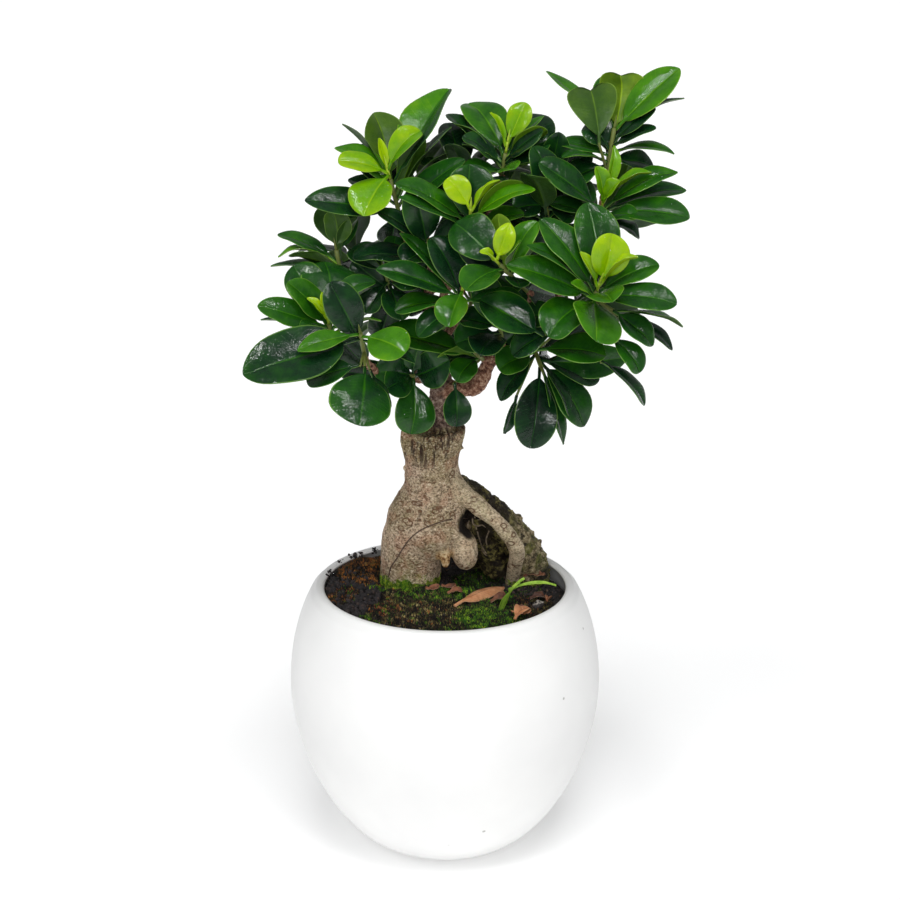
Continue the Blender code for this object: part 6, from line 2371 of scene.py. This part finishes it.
def grass_look():
    n = Nodes("grass_surface")
    place = n.triple("place")
    stripes = n.math("SINE", n.times(place[1], 26.0))
    colour = n.ramp(n.noise(0.5, 4), GRASS_TONES)
    colour = n.mix(n.range(stripes, 0.2, 1.0, 0.0, 0.35), colour, GRASS_STRIPE)
    colour = n.mix(n.range(place[0], 0.1, 0.4, 0.7, 0.0), colour, GRASS_FOOT)
    n.bump(stripes, 0.25)
    return n.finish(colour, n.patchy(0.8, 0.4, 0.55), Specular_IOR_Level=0.3)


def all_looks():
    return {
        "leaf": leaf_look(), "stem": stem_look(), "bark": bark_look(), "glaze": glaze_look(),
        "soil": soil_look(), "crumb": crumb_look(), "stone": stone_look(),
        "dry": dry_look(), "grass": grass_look(),
        "rootlet_dark": rootlet_look("rootlet_dark", *ROOTLET_DARK),
        "rootlet_pale": rootlet_look("rootlet_pale", *ROOTLET_PALE),
        "moss": moss_look(),
    }


# Studio

SKY_COLOUR = (0.98, 0.99, 1.0)
SKY_LIGHT = 0.31
FLOOR_HALF_M = 6.0
FLOOR_PALE = ((0.90, 0.90, 0.90), (0.93, 0.93, 0.93))
FLOOR_GLOW = 0.2
# Soft lamps: name, azimuth from the front, elevation, strength, angular size in degrees, seen as gloss only
SUNS = (
    ("front", -4, 26, 0.8, 30, False),
    ("low", 0, 6, 0.4, 40, False),
    ("top", 10, 70, 1.55, 26, False),
    ("left", -38, 50, 0.38, 20, False),
    ("gleam", -34, 52, 1.1, 3, True),
    ("glint", 24, 46, 0.85, 3, True),
)


def photo_camera():
    """The camera at the photograph's place and angle."""
    camera = bpy.data.cameras.new("camera")
    camera.sensor_width = SENSOR_MM
    camera.lens = FOCAL_PIXELS / IMAGE_PIXELS * SENSOR_MM
    holder = bpy.data.objects.new("camera", camera)
    holder.location = Vector(CAMERA_PLACE) * MM
    holder.rotation_euler = (math.pi / 2 - FRONT_TILT, 0, 0)
    bpy.context.scene.collection.objects.link(holder)
    bpy.context.scene.camera = holder


def pale_floor():
    mesh = bpy.data.meshes.new("floor")
    s = FLOOR_HALF_M
    mesh.from_pydata([(-s, -s, 0), (s, -s, 0), (s, s, 0), (-s, s, 0)], [], [(0, 1, 2, 3)])
    floor = bpy.data.objects.new("floor", mesh)
    n = Nodes("floor_surface")
    pale = n.mix(n.noise(0.002, 2), *FLOOR_PALE)
    n.link(pale, n.shader.inputs["Emission Color"])
    mesh.materials.append(n.finish(pale, 0.9, Emission_Strength=FLOOR_GLOW))
    bpy.context.scene.collection.objects.link(floor)


def sky_and_lamps():
    """A dim sky for the light, plain white behind the plant, and the lamps."""
    world = bpy.data.worlds.new("studio")
    world.use_nodes = True
    tree = world.node_tree
    sky = tree.nodes["Background"]
    sky.inputs[0].default_value = (*SKY_COLOUR, 1)
    sky.inputs[1].default_value = SKY_LIGHT
    backdrop = tree.nodes.new("ShaderNodeBackground")
    backdrop.inputs[0].default_value = (1, 1, 1, 1)
    backdrop.inputs[1].default_value = 1.0
    either = tree.nodes.new("ShaderNodeMixShader")
    tree.links.new(tree.nodes.new("ShaderNodeLightPath").outputs["Is Camera Ray"], either.inputs[0])
    tree.links.new(sky.outputs[0], either.inputs[1])
    tree.links.new(backdrop.outputs[0], either.inputs[2])
    tree.links.new(either.outputs[0], tree.nodes["World Output"].inputs[0])
    bpy.context.scene.world = world

    for name, azimuth, elevation, strength, spread, gloss in SUNS:
        light = bpy.data.lights.new(name, "SUN")
        light.energy = strength
        light.angle = math.radians(spread)
        lamp = bpy.data.objects.new(name, light)
        lamp.visible_glossy = gloss
        lamp.visible_diffuse = not gloss
        a, e = math.radians(azimuth), math.radians(elevation)
        towards = Vector((math.sin(a) * math.cos(e), -math.cos(a) * math.cos(e), math.sin(e)))
        lamp.rotation_euler = towards.to_track_quat("Z", "Y").to_euler()
        bpy.context.scene.collection.objects.link(lamp)
    bpy.context.scene.view_settings.view_transform = "Standard"


def main():
    home = bpy.context.scene.collection
    photo_camera()
    pale_floor()
    sky_and_lamps()
    looks = all_looks()
    glazed = pot(home, looks)
    wood = fine_wood(home, looks)
    thin_roots(home, looks, tree_of(wood))
    soil = fine_soil(home, looks)
    crumbs(home, looks)
    cushions = list(moss(home, looks))
    surface = Surface((wood, soil, glazed, *cushions))
    placed_moss(home, looks, surface)
    placed_crumbs(home, looks, surface)
    placed_litter(home, looks, surface)
    draw = random.Random(SEED + 5)
    stone_and_chips(home, looks, draw)
    dry_leaf(home, looks, draw)
    grass(home, looks, draw)
    foliage(home, looks)


for old in list(bpy.data.objects):
    bpy.data.objects.remove(old, do_unlink=True)
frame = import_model()
cad_low, cad_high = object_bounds()
main()
